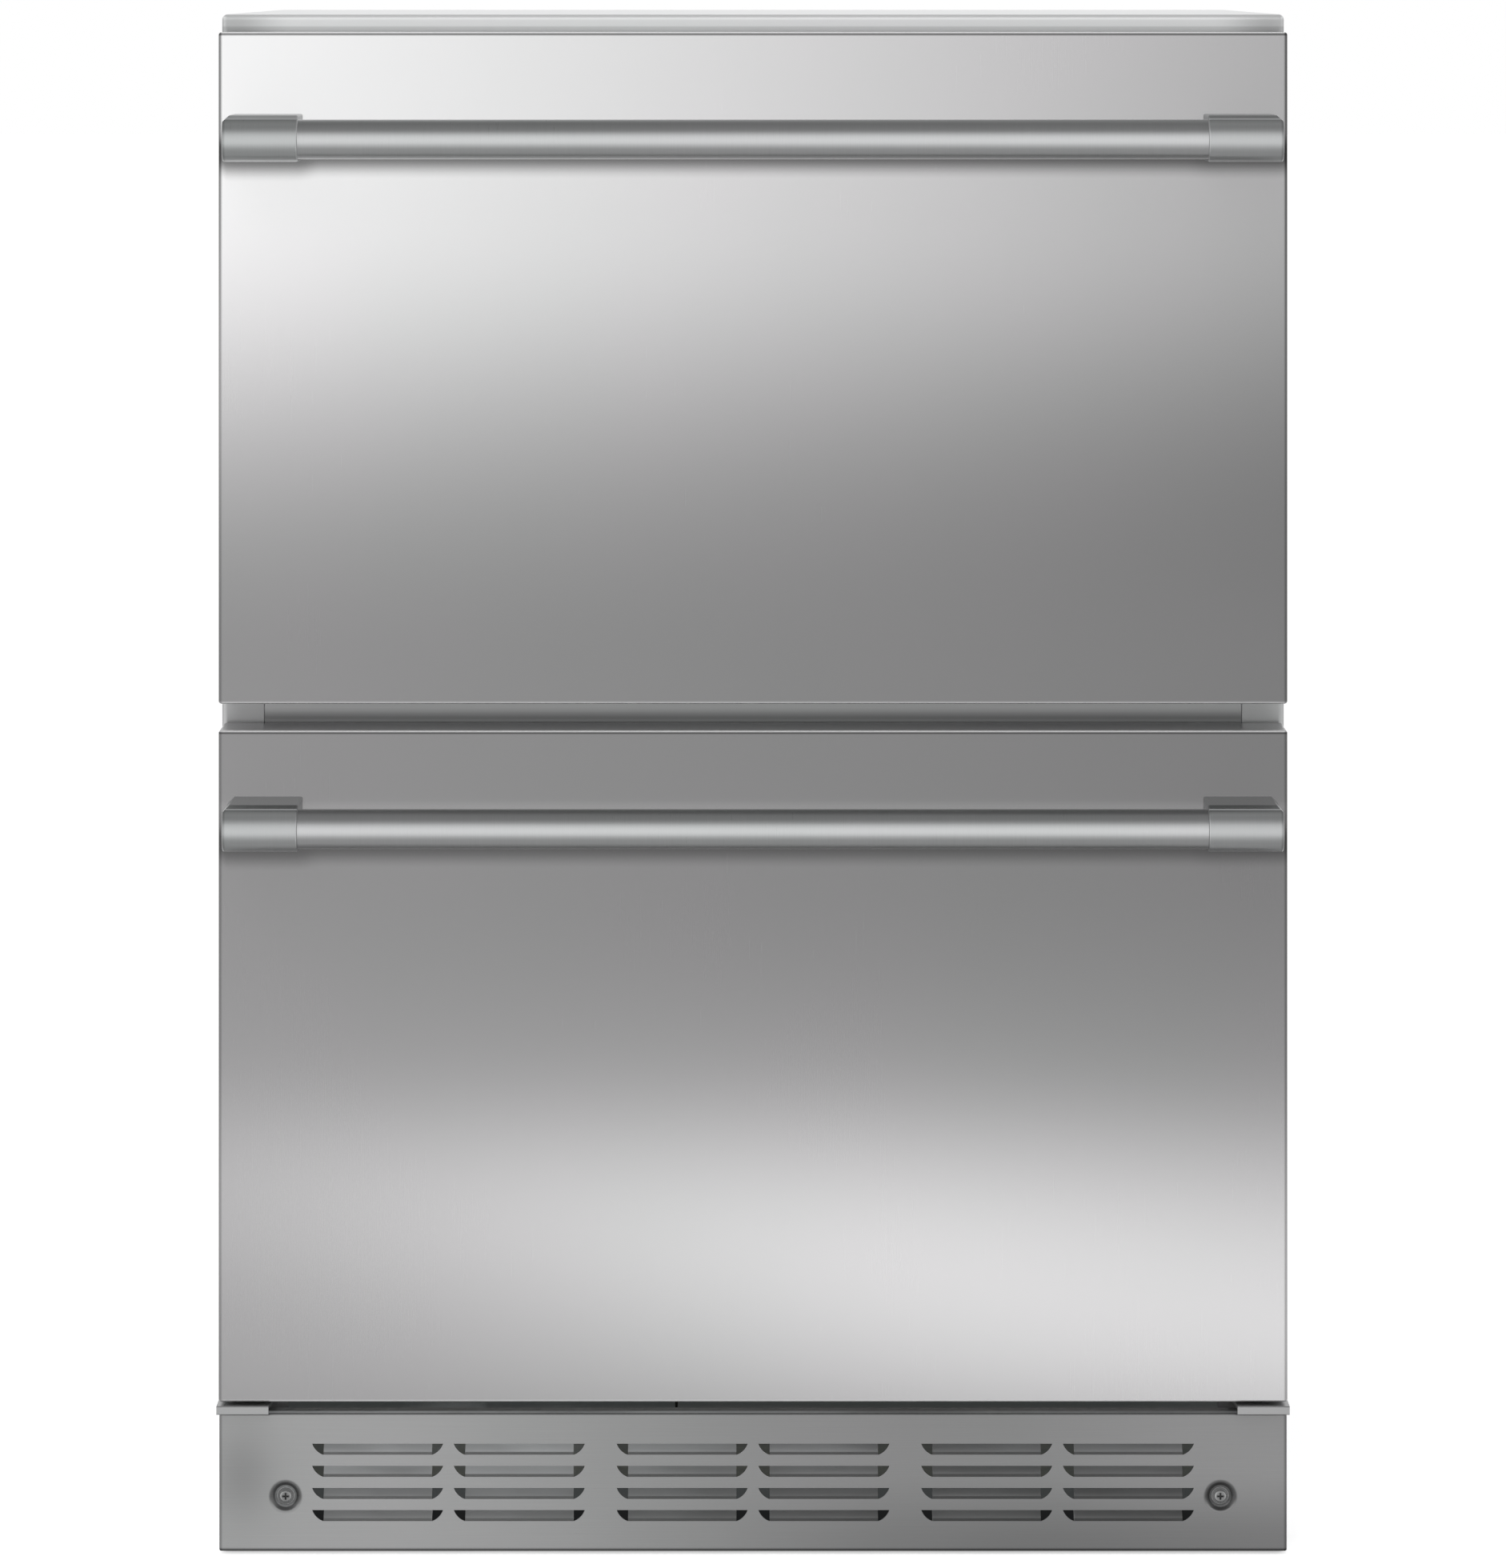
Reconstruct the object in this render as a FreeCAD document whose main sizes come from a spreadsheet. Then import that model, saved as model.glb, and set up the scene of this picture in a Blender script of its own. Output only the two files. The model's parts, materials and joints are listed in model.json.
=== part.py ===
import FreeCAD, Part
import Sketcher
import math
import os

# Two-drawer undercounter refrigerator, as an assembly of separate pieces.
# Millimetres. +Z is up, -Y is the front, +X is to the right of someone facing the drawers.
# The origin lies on the floor, midway across the width and midway between the front of the
# handles and the beads on the rear panel.

V = FreeCAD.Vector
R = FreeCAD.Rotation
doc = FreeCAD.newDocument("undercounter_refrigerator")
sheet = doc.addObject("Spreadsheet::Sheet", "Dims")

# ---------------------------------------------------------------- driving sizes
DIMS = [
    # overall
    ("cabinet_half", 303.0), ("cabinet_top", 870.0), ("cabinet_front", -221.25),
    ("cabinet_back", 329.75), ("wall_sheet", 1.0), ("shell_bottom", 16.0),
    ("flange_inner", 279.0), ("ring_bottom", 110.0), ("ring_top", 845.0),
    ("rail_bottom", 82.0), ("foot_flange", 265.0),
    # drawer fronts
    ("face", -273.25), ("front_half", 301.5), ("front_tall", 379.0), ("skin_deep", 45.0),
    ("skin_sheet", 1.0), ("upper_floor", 481.1), ("lower_floor", 87.3),
    # cavity
    ("cavity_half", 258.0), ("liner_wall", 2.0), ("cavity_floor", 114.0), ("step_back", 62.0),
    ("step_top", 285.0), ("cavity_back", 284.0), ("cavity_roof", 826.0),
    # machine compartment
    ("bay_front", 92.0), ("bay_roof", 257.0), ("bay_cover", 306.0),
    # mullion
    ("mullion_low", 440.7), ("mullion_high", 506.7), ("mullion_deep", 40.0),
    # handle
    ("tube_radius", 11.1), ("tube_bore", 9.6), ("ferrule_radius", 12.5),
    ("ferrule_in", 254.0), ("ferrule_out", 296.0), ("handle_reach", 47.0),
    ("post_rise", 13.4), ("post_bevel", 3.6),
    ("upper_handle_height", 800.6), ("lower_handle_height", 415.5),
    # toe kick
    ("kick_face", -267.25), ("kick_sheet", 1.2), ("kick_low", 2.0), ("kick_high", 79.6),
    ("louvre_wide", 37.0), ("louvre_narrow", 31.0), ("louvre_tall", 6.2),
    ("louvre_pitch", 12.5), ("louvre_first", 56.5),
    ("screw_across", 264.0), ("screw_height", 32.9),
    # slides
    ("slide_front", -208.5), ("slide_back", 217.5),
    ("upper_slide_height", 600.0), ("lower_slide_height", 345.0),
    # bins
    ("bin_half", 246.0), ("bin_wall", 2.5), ("bin_front", -210.0), ("bin_back", 214.0),
    ("upper_bin_low", 512.0), ("upper_bin_high", 752.0),
    ("lower_bin_low", 122.0), ("lower_bin_high", 402.0),
    ("bin_step_back", 50.0), ("bin_step_low", 294.0),
    # gasket
    ("gasket_out", 295.0), ("gasket_wide", 14.0), ("gasket_lift", 5.0), ("gasket_drop", 1.7),
    # machinery
    ("can_across", 150.0), ("can_deep", 205.0), ("can_radius", 74.0),
    ("fan_across", -165.0), ("fan_height", 112.0), ("evap_fan_height", 752.0),
    # legs
    ("leg_across", 268.0), ("leg_front", -188.0), ("leg_back", 292.0),
    ("leg_stem", 5.0), ("foot_radius", 18.0),
]


class Size:
    """A size that keeps its spreadsheet expression beside its value."""

    def __init__(self, value, text):
        self.value, self.text = float(value), text

    @property
    def bound(self):
        return "Dims." in self.text

    def __add__(self, other):
        other = sized(other)
        return Size(self.value + other.value, "(%s + %s)" % (self.text, other.text))

    def __radd__(self, other):
        return sized(other) + self

    def __sub__(self, other):
        other = sized(other)
        return Size(self.value - other.value, "(%s - %s)" % (self.text, other.text))

    def __rsub__(self, other):
        return sized(other) - self

    def __mul__(self, other):
        other = sized(other)
        return Size(self.value * other.value, "(%s * %s)" % (self.text, other.text))

    __rmul__ = __mul__

    def __neg__(self):
        return Size(-self.value, "(0 - %s)" % self.text)


def sized(number):
    return number if isinstance(number, Size) else Size(number, "(%.6f)" % float(number))


class Driving:
    """Holds every driving dimension as a Size attribute named by its alias."""


dim = Driving()
for row, (alias, value) in enumerate(DIMS, 1):
    sheet.set("A%d" % row, alias)
    sheet.set("B%d" % row, "%g" % value)
    sheet.setAlias("B%d" % row, alias)
    setattr(dim, alias, Size(value, "Dims." + alias))
doc.recompute()


# ---------------------------------------------------------------- solids
SIDES = (-1, 1)
TURN = {"Z": R(), "X": R(V(0, 1, 0), 90), "Y": R(V(1, 0, 0), -90)}
name_count = {}


def fresh(name):
    name_count[name] = name_count.get(name, 0) + 1
    return "w_%s_%d" % (name, name_count[name])


def assign(obj, prop, amount):
    """Sets a property and binds it when the amount comes from the sheet."""
    amount = sized(amount)
    setattr(obj, prop, amount.value)
    if amount.bound:
        obj.setExpression(prop, amount.text)


def place(obj, x, y, z, turn=R()):
    base = [sized(c) for c in (x, y, z)]
    obj.Placement = FreeCAD.Placement(V(*[c.value for c in base]), turn)
    for axis, c in zip("xyz", base):
        if c.bound:
            obj.setExpression("Placement.Base." + axis, c.text)
    return obj


def box(x0, x1, y0, y1, z0, z1):
    obj = doc.addObject("Part::Box", fresh("box"))
    for prop, low, high in (("Length", x0, x1), ("Width", y0, y1), ("Height", z0, z1)):
        assign(obj, prop, sized(high) - low)
    return place(obj, x0, y0, z0)


def wide_box(half, y0, y1, z0, z1):
    """A box centred on the middle plane."""
    return box(-half, half, y0, y1, z0, z1)


def side_box(side, inner, outer, y0, y1, z0, z1):
    """A box between two distances from the middle plane, on side 1 (right) or -1 (left)."""
    x0, x1 = (inner, outer) if side > 0 else (-outer, -inner)
    return box(x0, x1, y0, y1, z0, z1)


def align(obj, axis, start, p, q):
    """Stands obj on start along axis; p and q are the other two, in X, Y, Z order."""
    at = {"Z": (p, q, start), "X": (start, p, q), "Y": (p, start, q)}[axis]
    return place(obj, *at, turn=TURN[axis])


def cylinder(radius, start, end, p, q, axis="Z"):
    obj = doc.addObject("Part::Cylinder", fresh("cyl"))
    assign(obj, "Radius", radius)
    assign(obj, "Height", sized(end) - start)
    return align(obj, axis, start, p, q)


def cone(radius0, radius1, start, end, p, q, axis):
    obj = doc.addObject("Part::Cone", fresh("cone"))
    assign(obj, "Radius1", radius0)
    assign(obj, "Radius2", radius1)
    assign(obj, "Height", sized(end) - start)
    return align(obj, axis, start, p, q)


def free(shape):
    """A feature that holds a shape made without the document."""
    obj = doc.addObject("Part::Feature", fresh("free"))
    obj.Shape = shape
    return obj


def fuse(*shapes):
    if len(shapes) == 1:
        return shapes[0]
    obj = doc.addObject("Part::MultiFuse", fresh("fuse"))
    obj.Shapes = list(shapes)
    return obj


def cut(base, *tools):
    obj = doc.addObject("Part::Cut", fresh("cut"))
    obj.Base, obj.Tool = base, fuse(*tools)
    return obj


def common(base, tool):
    obj = doc.addObject("Part::Common", fresh("common"))
    obj.Base, obj.Tool = base, tool
    return obj


def group(*shapes):
    obj = doc.addObject("Part::Compound", fresh("group"))
    obj.Links = list(shapes)
    return obj


def both(source):
    """The piece and its mirror image across the middle plane, as two separate solids."""
    mirror = doc.addObject("Part::Mirroring", fresh("mirror"))
    mirror.Source, mirror.Normal, mirror.Base = source, V(1, 0, 0), V(0, 0, 0)
    return group(source, mirror)


def rounded(base, radius, pick):
    """Rounds the edges of base that pick(edge) accepts."""
    doc.recompute()
    obj = doc.addObject("Part::Fillet", fresh("round"))
    obj.Base = base
    obj.Edges = [(i, radius, radius) for i, edge in enumerate(base.Shape.Edges, 1) if pick(edge)]
    return obj


# ---------------------------------------------------------------- edge selectors
def direction(edge):
    """Unit direction of an edge, or None when it is curved."""
    if edge.Curve.TypeId != "Part::GeomLine":
        return None
    start, end = edge.Vertexes[0].Point, edge.Vertexes[-1].Point
    return (end - start).normalize()


def runs_along(axis):
    """Picks straight edges along axis 0 (X), 1 (Y) or 2 (Z)."""
    def test(edge):
        way = direction(edge)
        return way is not None and abs(way[axis]) > 0.999
    return test


along_x, along_y, along_z = [runs_along(axis) for axis in range(3)]


def centre(edge):
    return edge.BoundBox.Center


def near(a, b, gap):
    return abs(a - sized(b).value) < gap


def away_from_height(height):
    """Picks every edge but those at a height."""
    return lambda edge: abs(centre(edge).z - height.value) > 1


# ---------------------------------------------------------------- sketches and bodies
def sketch(body, plane, at, loops, circles=()):
    """A fully constrained sketch on one of the body's origin planes, shifted to at.

    Each loop is a list of (x, y) or (x, y, mid_x, mid_y): the second kind starts an arc
    through that middle point. Each circle is (x, y, radius). The sketch's x and y are the
    plane's two axes, and the XZ plane faces -Y.
    """
    sk = body.newObject("Sketcher::SketchObject", fresh("sketch"))
    planes = [f for f in body.Origin.OriginFeatures if f.Role == plane + "_Plane"]
    sk.AttachmentSupport = [(planes[0], "")]
    sk.MapMode = "FlatFace"
    offset = -sized(at) if plane == "XZ" else sized(at)
    sk.AttachmentOffset = FreeCAD.Placement(V(0, 0, offset.value), R())
    if offset.bound:
        sk.setExpression("AttachmentOffset.Base.z", offset.text)
    shapes, rules, named = [], [], []

    def rule(*args):
        """Adds a constraint; a Size as last argument is bound by its expression."""
        amount = args[-1]
        if isinstance(amount, Size):
            args = args[:-1] + (amount.value,)
            if amount.bound:
                named.append((len(rules), amount.text))
        rules.append(Sketcher.Constraint(*args))

    for loop in loops:
        first, total = len(shapes), len(loop)
        points = [V(sized(p[0]).value, sized(p[1]).value, 0) for p in loop]
        ends = []  # which end of each curve comes first and which last round the loop
        for i, p in enumerate(loop):
            start, end = points[i], points[(i + 1) % total]
            if len(p) == 4:
                arc = Part.Arc(start, V(sized(p[2]).value, sized(p[3]).value, 0), end)
                shapes.append(arc)
                clockwise = arc.toShape().Curve.Axis.z < 0
                ends.append((2, 1) if clockwise else (1, 2))
            else:
                shapes.append(Part.LineSegment(start, end))
                ends.append((1, 2))
        for i in range(total):
            j = (i + 1) % total
            rule("Coincident", first + i, ends[i][1], first + j, ends[j][0])
        for i, p in enumerate(loop):
            curve, end_id = first + i, ends[i][0]
            rule("DistanceX", -1, 1, curve, end_id, sized(p[0]))
            rule("DistanceY", -1, 1, curve, end_id, sized(p[1]))
            if len(p) == 4:
                start, end = points[i], points[(i + 1) % total]
                middle = shapes[curve].toShape().Curve.Center
                if abs(end.x - start.x) > abs(end.y - start.y):
                    rule("DistanceY", curve, end_id, curve, 3, middle.y - start.y)
                else:
                    rule("DistanceX", curve, end_id, curve, 3, middle.x - start.x)
    for x, y, radius in circles:
        x, y, radius = sized(x), sized(y), sized(radius)
        curve = len(shapes)
        shapes.append(Part.Circle(V(x.value, y.value, 0), V(0, 0, 1), radius.value))
        rule("DistanceX", -1, 1, curve, 3, x)
        rule("DistanceY", -1, 1, curve, 3, y)
        rule("Radius", curve, radius)
    sk.addGeometry(shapes, False)
    sk.addConstraint(rules)
    for k, text in named:
        sk.renameConstraint(k, "p%d" % k)
        sk.setExpression("Constraints.p%d" % k, text)
    return sk


def extrude(body, kind, profile, length):
    obj = body.newObject("PartDesign::" + kind, fresh(kind.lower()))
    obj.Profile = profile
    assign(obj, "Length", length)
    doc.recompute()
    return obj


def pad(body, plane, start, end, loops):
    """Adds material between start and end along the plane's axis."""
    profile = sketch(body, plane, end if plane == "XZ" else start, loops)
    return extrude(body, "Pad", profile, sized(end) - start)


def pocket(body, plane, start, end, loops, circles=()):
    """Removes material between start and end along the plane's axis."""
    before = body.Shape.Volume
    profile = sketch(body, plane, start if plane == "XZ" else end, loops, circles)
    obj = extrude(body, "Pocket", profile, sized(end) - start)
    if not body.Shape.Volume < before - 1e-3:
        raise RuntimeError("pocket %s removes nothing: %s" % (obj.Name, obj.State))
    return obj


def dress(body, kind, prop, amount, pick):
    """A Fillet or Chamfer on the edges of the body's tip that pick(edge) accepts."""
    doc.recompute()
    tip = body.Tip
    names = ["Edge%d" % i for i, edge in enumerate(tip.Shape.Edges, 1) if pick(edge)]
    obj = body.newObject("PartDesign::" + kind, fresh(kind.lower()))
    obj.Base = (tip, names)
    assign(obj, prop, amount)
    doc.recompute()


def soften(body, radius, pick):
    dress(body, "Fillet", "Radius", radius, pick)


def prism(plane, start, end, loops):
    body = doc.addObject("PartDesign::Body", fresh("body"))
    pad(body, plane, start, end, loops)
    return body


def rect(x0, x1, y0, y1):
    return [(x0, y0), (x1, y0), (x1, y1), (x0, y1)]


def wide_rect(half, low, high):
    return rect(-half, half, low, high)


def stepped(front, low, step_y, step_z, back, high):
    """A (y, z) outline whose lower back corner is notched out."""
    return [(front, low), (step_y, low), (step_y, step_z), (back, step_z), (back, high),
            (front, high)]


def spun(profile, x, y, z, axis="Z"):
    """Revolves a closed (radius, height) profile, then turns its height to run along axis."""
    body = doc.addObject("PartDesign::Body", fresh("spun"))
    sk = sketch(body, "XZ", 0, [profile])
    obj = body.newObject("PartDesign::Revolution", fresh("rev"))
    obj.Profile = sk
    obj.ReferenceAxis = (sk, ["V_Axis"])
    obj.Angle = 360
    doc.recompute()
    return place(body, x, y, z, TURN[axis])


# ---------------------------------------------------------------- bent tubes
def tube_path(points, bend):
    """A wire through points with every corner rounded to bend, or less on short runs."""
    edges, last = [], points[0]
    for corner, following in zip(points[1:-1], points[2:]):
        back, onward = last - corner, following - corner
        back_unit, onward_unit = V(back).normalize(), V(onward).normalize()
        half = back.getAngle(onward) / 2
        if math.pi / 2 - half < 1e-3:  # the path runs straight on
            continue
        reach = min(bend / math.tan(half), back.Length * 0.98, onward.Length * 0.49)
        radius = reach * math.tan(half)
        start, end = corner + back_unit * reach, corner + onward_unit * reach
        bisector = (back_unit + onward_unit).normalize()
        middle = corner + bisector * (radius / math.sin(half)) - bisector * radius
        if (start - last).Length > 1e-6:
            edges.append(Part.LineSegment(last, start).toShape())
        edges.append(Part.Arc(start, middle, end).toShape())
        last = end
    edges.append(Part.LineSegment(last, points[-1]).toShape())
    return Part.Wire(edges)


def piped(points, radius, bend, bore=0.0):
    """A round rod or tube swept along a bent path, which no sketch plane holds."""
    points = [V(*[sized(c).value for c in p]) for p in points]
    path = tube_path(points, bend)
    heading = (points[1] - points[0]).normalize()

    def sweep(r):
        ring = Part.Wire(Part.makeCircle(r, points[0], heading))
        return path.makePipeShell([ring], True, False)

    solid = sweep(radius)
    if bore:
        solid = solid.cut(sweep(bore))
    return free(solid)


# ---------------------------------------------------------------- pieces
NODES = {}


def node(name, obj):
    obj.Label = name
    NODES[name] = obj


def piece(build):
    """Decorator that builds a piece at once and labels it with the function's name."""
    node(build.__name__, build())
    return build


# ---------------------------------------------------------------- cabinet
PAN_HALF = dim.cabinet_half - 1.6


def front_and_ridge(front, top):
    """Picks the front edges, less the bottom one, and the top edges that run back."""
    def test(edge):
        middle, way = centre(edge), direction(edge)
        if way is None:
            return False
        at_front = near(middle.y, front, 1e-3)
        below_top = abs(way.x) > 0.9 and abs(middle.z - top.value) > 1
        ridge = abs(way.y) > 0.9 and near(middle.z, top, 1e-3)
        return (at_front and not below_top) or ridge
    return test


@piece
def cabinet_shell():
    """One folded wrapper with a front flange."""
    half, wall, low = dim.cabinet_half, dim.wall_sheet, dim.shell_bottom
    front, back, top = dim.cabinet_front, dim.cabinet_back, dim.cabinet_top
    outer = rounded(wide_box(half, front, back, low, top), 3.0, front_and_ridge(front, top))
    inner = rounded(wide_box(half - wall, front + wall, back + 10, low - 5, top - wall), 2.0,
                    front_and_ridge(front + wall, top - wall))
    opening = wide_box(dim.flange_inner, front - 5, front + wall + 1, dim.ring_bottom, dim.ring_top)
    foot = wide_box(dim.foot_flange, front - 5, front + wall + 1, low - 5, dim.rail_bottom)
    return cut(outer, inner, opening, foot)


@piece
def rear_panel():
    """A flat sheet with three pressed beads."""
    bead_heights, bead_half, back = (380, 560, 740), 210, dim.cabinet_back

    def bead(y0, y1, z, radius):
        tip = bead_half + radius
        return prism("XZ", y0, y1, [[
            (-bead_half, z - radius), (bead_half, z - radius, tip, z),
            (bead_half, z + radius), (-bead_half, z + radius, -tip, z)]])

    panel = prism("XZ", back, back + 1,
                  [wide_rect(dim.cabinet_half - 1, dim.bay_roof + 4, dim.cabinet_top - 2)])
    beads = [bead(back + 0.5, back + 3, z, 9) for z in bead_heights]
    hollows = [bead(back - 1, back + 2, z, 8) for z in bead_heights]
    return cut(fuse(panel, *beads), *hollows)


def cavity_outline(front, grow):
    """The cavity's side outline, grown all round but at the front."""
    return stepped(front, dim.cavity_floor - grow, dim.step_back + grow, dim.step_top - grow,
                   dim.cavity_back + grow, dim.cavity_roof + grow)


@piece
def insulation_foam():
    """One block wrapped round the liner."""
    front, gap = dim.cabinet_front, dim.liner_wall + 0.3
    foam = prism("YZ", -PAN_HALF, PAN_HALF, [stepped(
        front + 3.5, dim.rail_bottom + 2, dim.bay_front, dim.bay_roof,
        dim.cabinet_back - 4, dim.cabinet_top - 2)])
    hollow_half = dim.cavity_half + gap
    pocket(foam, "YZ", -hollow_half, hollow_half, [cavity_outline(front - 5, gap)])
    soften(foam, 10.5, lambda edge: along_x(edge)
           and near(centre(edge).y, dim.step_back + gap, 0.05)
           and near(centre(edge).z, dim.step_top - gap, 0.05))
    return foam


@piece
def inner_liner():
    """A tub with a step over the machine bay and a front flange."""
    front, half, wall = dim.cabinet_front, dim.cavity_half, dim.liner_wall

    def tub(half, mouth, grow, radius, limit):
        block = prism("YZ", -half, half, [cavity_outline(mouth, grow)])
        return rounded(block, radius, lambda edge: edge.BoundBox.YMin > limit.value
                       or edge.BoundBox.YMax - edge.BoundBox.YMin > 50)

    outer = tub(half + wall, front + 1.2, wall, 10.0, front + 1.3)
    inner = tub(half, front - 6, 0, 8.0, front - 5.9)
    rim = prism("XZ", front + 1.2, front + 3.2, [wide_rect(295, 98, 853)])
    return cut(fuse(outer, rim), inner)


@piece
def center_mullion():
    """A folded channel between the two drawer openings, open at the back."""
    low, high, front, gauge = dim.mullion_low, dim.mullion_high, dim.cabinet_front, 1.2
    back = front + dim.mullion_deep
    channel = prism("YZ", -257, 257, [[
        (front, low), (back, low), (back, low + gauge), (front + gauge, low + gauge),
        (front + gauge, high - gauge), (back, high - gauge), (back, high), (front, high)]])
    plate = prism("XZ", front, front + gauge, [wide_rect(dim.flange_inner - 0.5, low, high)])
    return fuse(channel, plate)


# ---------------------------------------------------------------- base pan and legs
LEG_SPOTS = [(side * dim.leg_across, y) for y in (dim.leg_front, dim.leg_back) for side in SIDES]
MOUNT_SPOTS = [(dim.can_across + x, dim.can_deep + y) for x in (-80, 80) for y in (-45, 45)]


@piece
def base_pan():
    """A sheet with upturned edges, leg bosses and holes."""
    low, front, back = dim.shell_bottom, dim.cabinet_front + 7, dim.cabinet_back - 0.3
    gauge = 1.2
    pan = prism("XY", low, low + 1.5, [rect(-PAN_HALF, PAN_HALF, front, back)])
    parts = [pan, wide_box(dim.cabinet_half - 40, front, front + gauge, low, low + 12),
             wide_box(PAN_HALF, back - 1.5, back, low, low + 33)]
    parts += [side_box(side, PAN_HALF - gauge, PAN_HALF, front, back, low, low + 24)
              for side in SIDES]
    parts += [cylinder(10, low + 1, low + 17, x, y) for x, y in LEG_SPOTS]
    holes = [cylinder(dim.leg_stem + 0.15, low - 2, low + 20, x, y) for x, y in LEG_SPOTS]
    holes += [cylinder(3.3, low - 2, low + 4, x, y) for x, y in MOUNT_SPOTS]
    holes += [cylinder(2.75, dim.cabinet_back - 4, dim.cabinet_back + 2, x, 36, "Y")
              for x in (-150, 150)]
    return cut(fuse(*parts), *holes)


# (radius, height) up from the floor: pad, collar and stem
LEG_PROFILE = [
    (0, 0), (15, 0), (dim.foot_radius, 2), (dim.foot_radius, 5), (9.5, 8), (9.5, 13.5),
    (dim.leg_stem, 13.5), (dim.leg_stem, 50), (4, 51.5), (0, 51.5)]
for corner_name, spot in zip(("front_left", "front_right", "rear_left", "rear_right"), LEG_SPOTS):
    node("levelling_leg_" + corner_name, spun(LEG_PROFILE, *spot, 0))


# ---------------------------------------------------------------- toe kick grille
def kick_tray():
    """A shallow tray, open at the back, whose top and bottom edges are short lips."""
    face, gauge, half = dim.kick_face, dim.kick_sheet, dim.front_half
    low, high, back = dim.kick_low, dim.kick_high, dim.cabinet_front
    tray = prism("XZ", face, back - 3, [wide_rect(half, low, high)])
    pocket(tray, "XZ", face + gauge, back, [wide_rect(half - gauge, low + gauge, high - gauge)])
    pocket(tray, "XZ", face + 20, back, [wide_rect(half - 4, low - 1, low + 3)])
    pocket(tray, "XZ", face + 20, back, [wide_rect(half - 4, high - 3, high + 1)])

    def outside(edge):
        middle = centre(edge)
        return edge.BoundBox.YMax < face.value + 1e-3 or (
            along_y(edge) and near(abs(middle.x), half, 1e-3)
            and (near(middle.z, low, 1e-3) or near(middle.z, high, 1e-3)))

    soften(tray, 1.1, outside)
    return tray


def add_louvres(tray):
    """Patterns one slit and its sloping tab into four rows of three pairs."""
    face, low = dim.kick_face, dim.louvre_first
    wide, narrow, high = dim.louvre_wide, dim.louvre_narrow, low + dim.louvre_tall
    first_x, bulge, bulge_z = -212.0, 34.6, low + 2.35
    slit = pocket(tray, "XZ", face - 2, face + dim.kick_sheet + 2, [[
        (first_x - narrow, low), (first_x + narrow, low, first_x + bulge, bulge_z),
        (first_x + wide, high), (first_x - wide, high, first_x - bulge, bulge_z)]])
    tab = pad(tray, "YZ", first_x - narrow + 0.4, first_x + narrow - 0.4, [[
        (face + 0.05, low - 0.9), (face + 0.05, low), (face + 0.6, low + 0.25),
        (face + 7.2, low + 5.7), (face + 7.9, low + 4.9), (face + 1.2, low - 0.9)]])
    louvres = tray.newObject("PartDesign::MultiTransform", "louvres")
    louvres.Originals = [slit, tab]
    steps = []
    for name, axis, span, times in (("pair", "H_Axis", 80, 2), ("bank", "H_Axis", 344, 3),
                                    ("rows", "V_Axis", dim.louvre_pitch * 3, 4)):
        step = tray.newObject("PartDesign::LinearPattern", name)
        step.Direction = (slit.Profile[0], [axis])
        step.Reversed = axis == "V_Axis"
        assign(step, "Length", span)
        step.Occurrences = times
        steps.append(step)
    louvres.Transformations = steps
    tray.Tip = louvres
    doc.recompute()


def screw_cup(side):
    """A tapered cup, pierced for the screw."""
    face, x, z = dim.kick_face, side * dim.screw_across, dim.screw_height
    return cut(fuse(cone(9.0, 5.6, face + 0.02, face + 3.2, x, z, "Y"),
                    cylinder(5.6, face + 3, face + 4.2, x, z, "Y")),
               cone(8.3, 4.9, face - 0.2, face + 3.0, x, z, "Y"),
               cylinder(2.75, face, face + 6, x, z, "Y"))


@piece
def toe_kick_grille():
    tray = kick_tray()
    add_louvres(tray)
    pocket(tray, "XZ", dim.kick_face - 2, dim.kick_face + dim.kick_sheet + 2, [],
           [(side * dim.screw_across, dim.screw_height, 8.7) for side in SIDES])
    return fuse(tray, *[screw_cup(side) for side in SIDES])


def cross_recess(x, y0, y1, z, across, width):
    """Two crossed slots for a screw head that faces along Y."""
    long, short = across / 2, width / 2
    return [box(x - long, x + long, y0, y1, z - short, z + short),
            box(x - short, x + short, y0, y1, z - long, z + long)]


def grille_screw(side):
    """A washer-faced pan-head screw that faces the front, seated in its cup."""
    x, y, z = side * dim.screw_across, dim.kick_face + 3.0, dim.screw_height
    head, tall, shank, length = 3.6, 2.0, 2.0, 14
    washer, thick = 4.7, 0.8
    rise = thick + tall
    profile = [
        (0, -length), (shank - 0.6, -length), (shank, -length + 0.8), (shank, 0), (washer, 0),
        (washer, thick), (head, thick),
        (head, thick + tall * 0.45, head * 0.86, thick + tall * 0.82),
        (head * 0.45, rise), (0, rise)]
    body = spun(profile, x, y, z, "Y")
    body.Placement.Rotation = R(V(1, 0, 0), 90)  # head towards -Y
    top = y - rise
    return cut(body, *cross_recess(x, top - 1, top + tall * 0.7, z, head * 0.78, head * 0.26))


@piece
def grille_screws():
    return group(*[grille_screw(side) for side in SIDES])


@piece
def grille_brackets():
    """A strip folded twice, from the grille screw back to the cabinet front."""
    near_y, back, gauge = dim.kick_face + 5.2, dim.cabinet_front, 1.5
    bracket = prism("XY", 20, 46, [[
        (250, near_y), (278, near_y), (278, back - gauge), (298, back - gauge), (298, back),
        (276.5, back), (276.5, near_y + gauge), (250, near_y + gauge)]])
    pocket(bracket, "XZ", dim.kick_face + 4, dim.kick_face + 8, [],
           [(dim.screw_across, dim.screw_height, 2.15)])
    return both(bracket)


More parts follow.
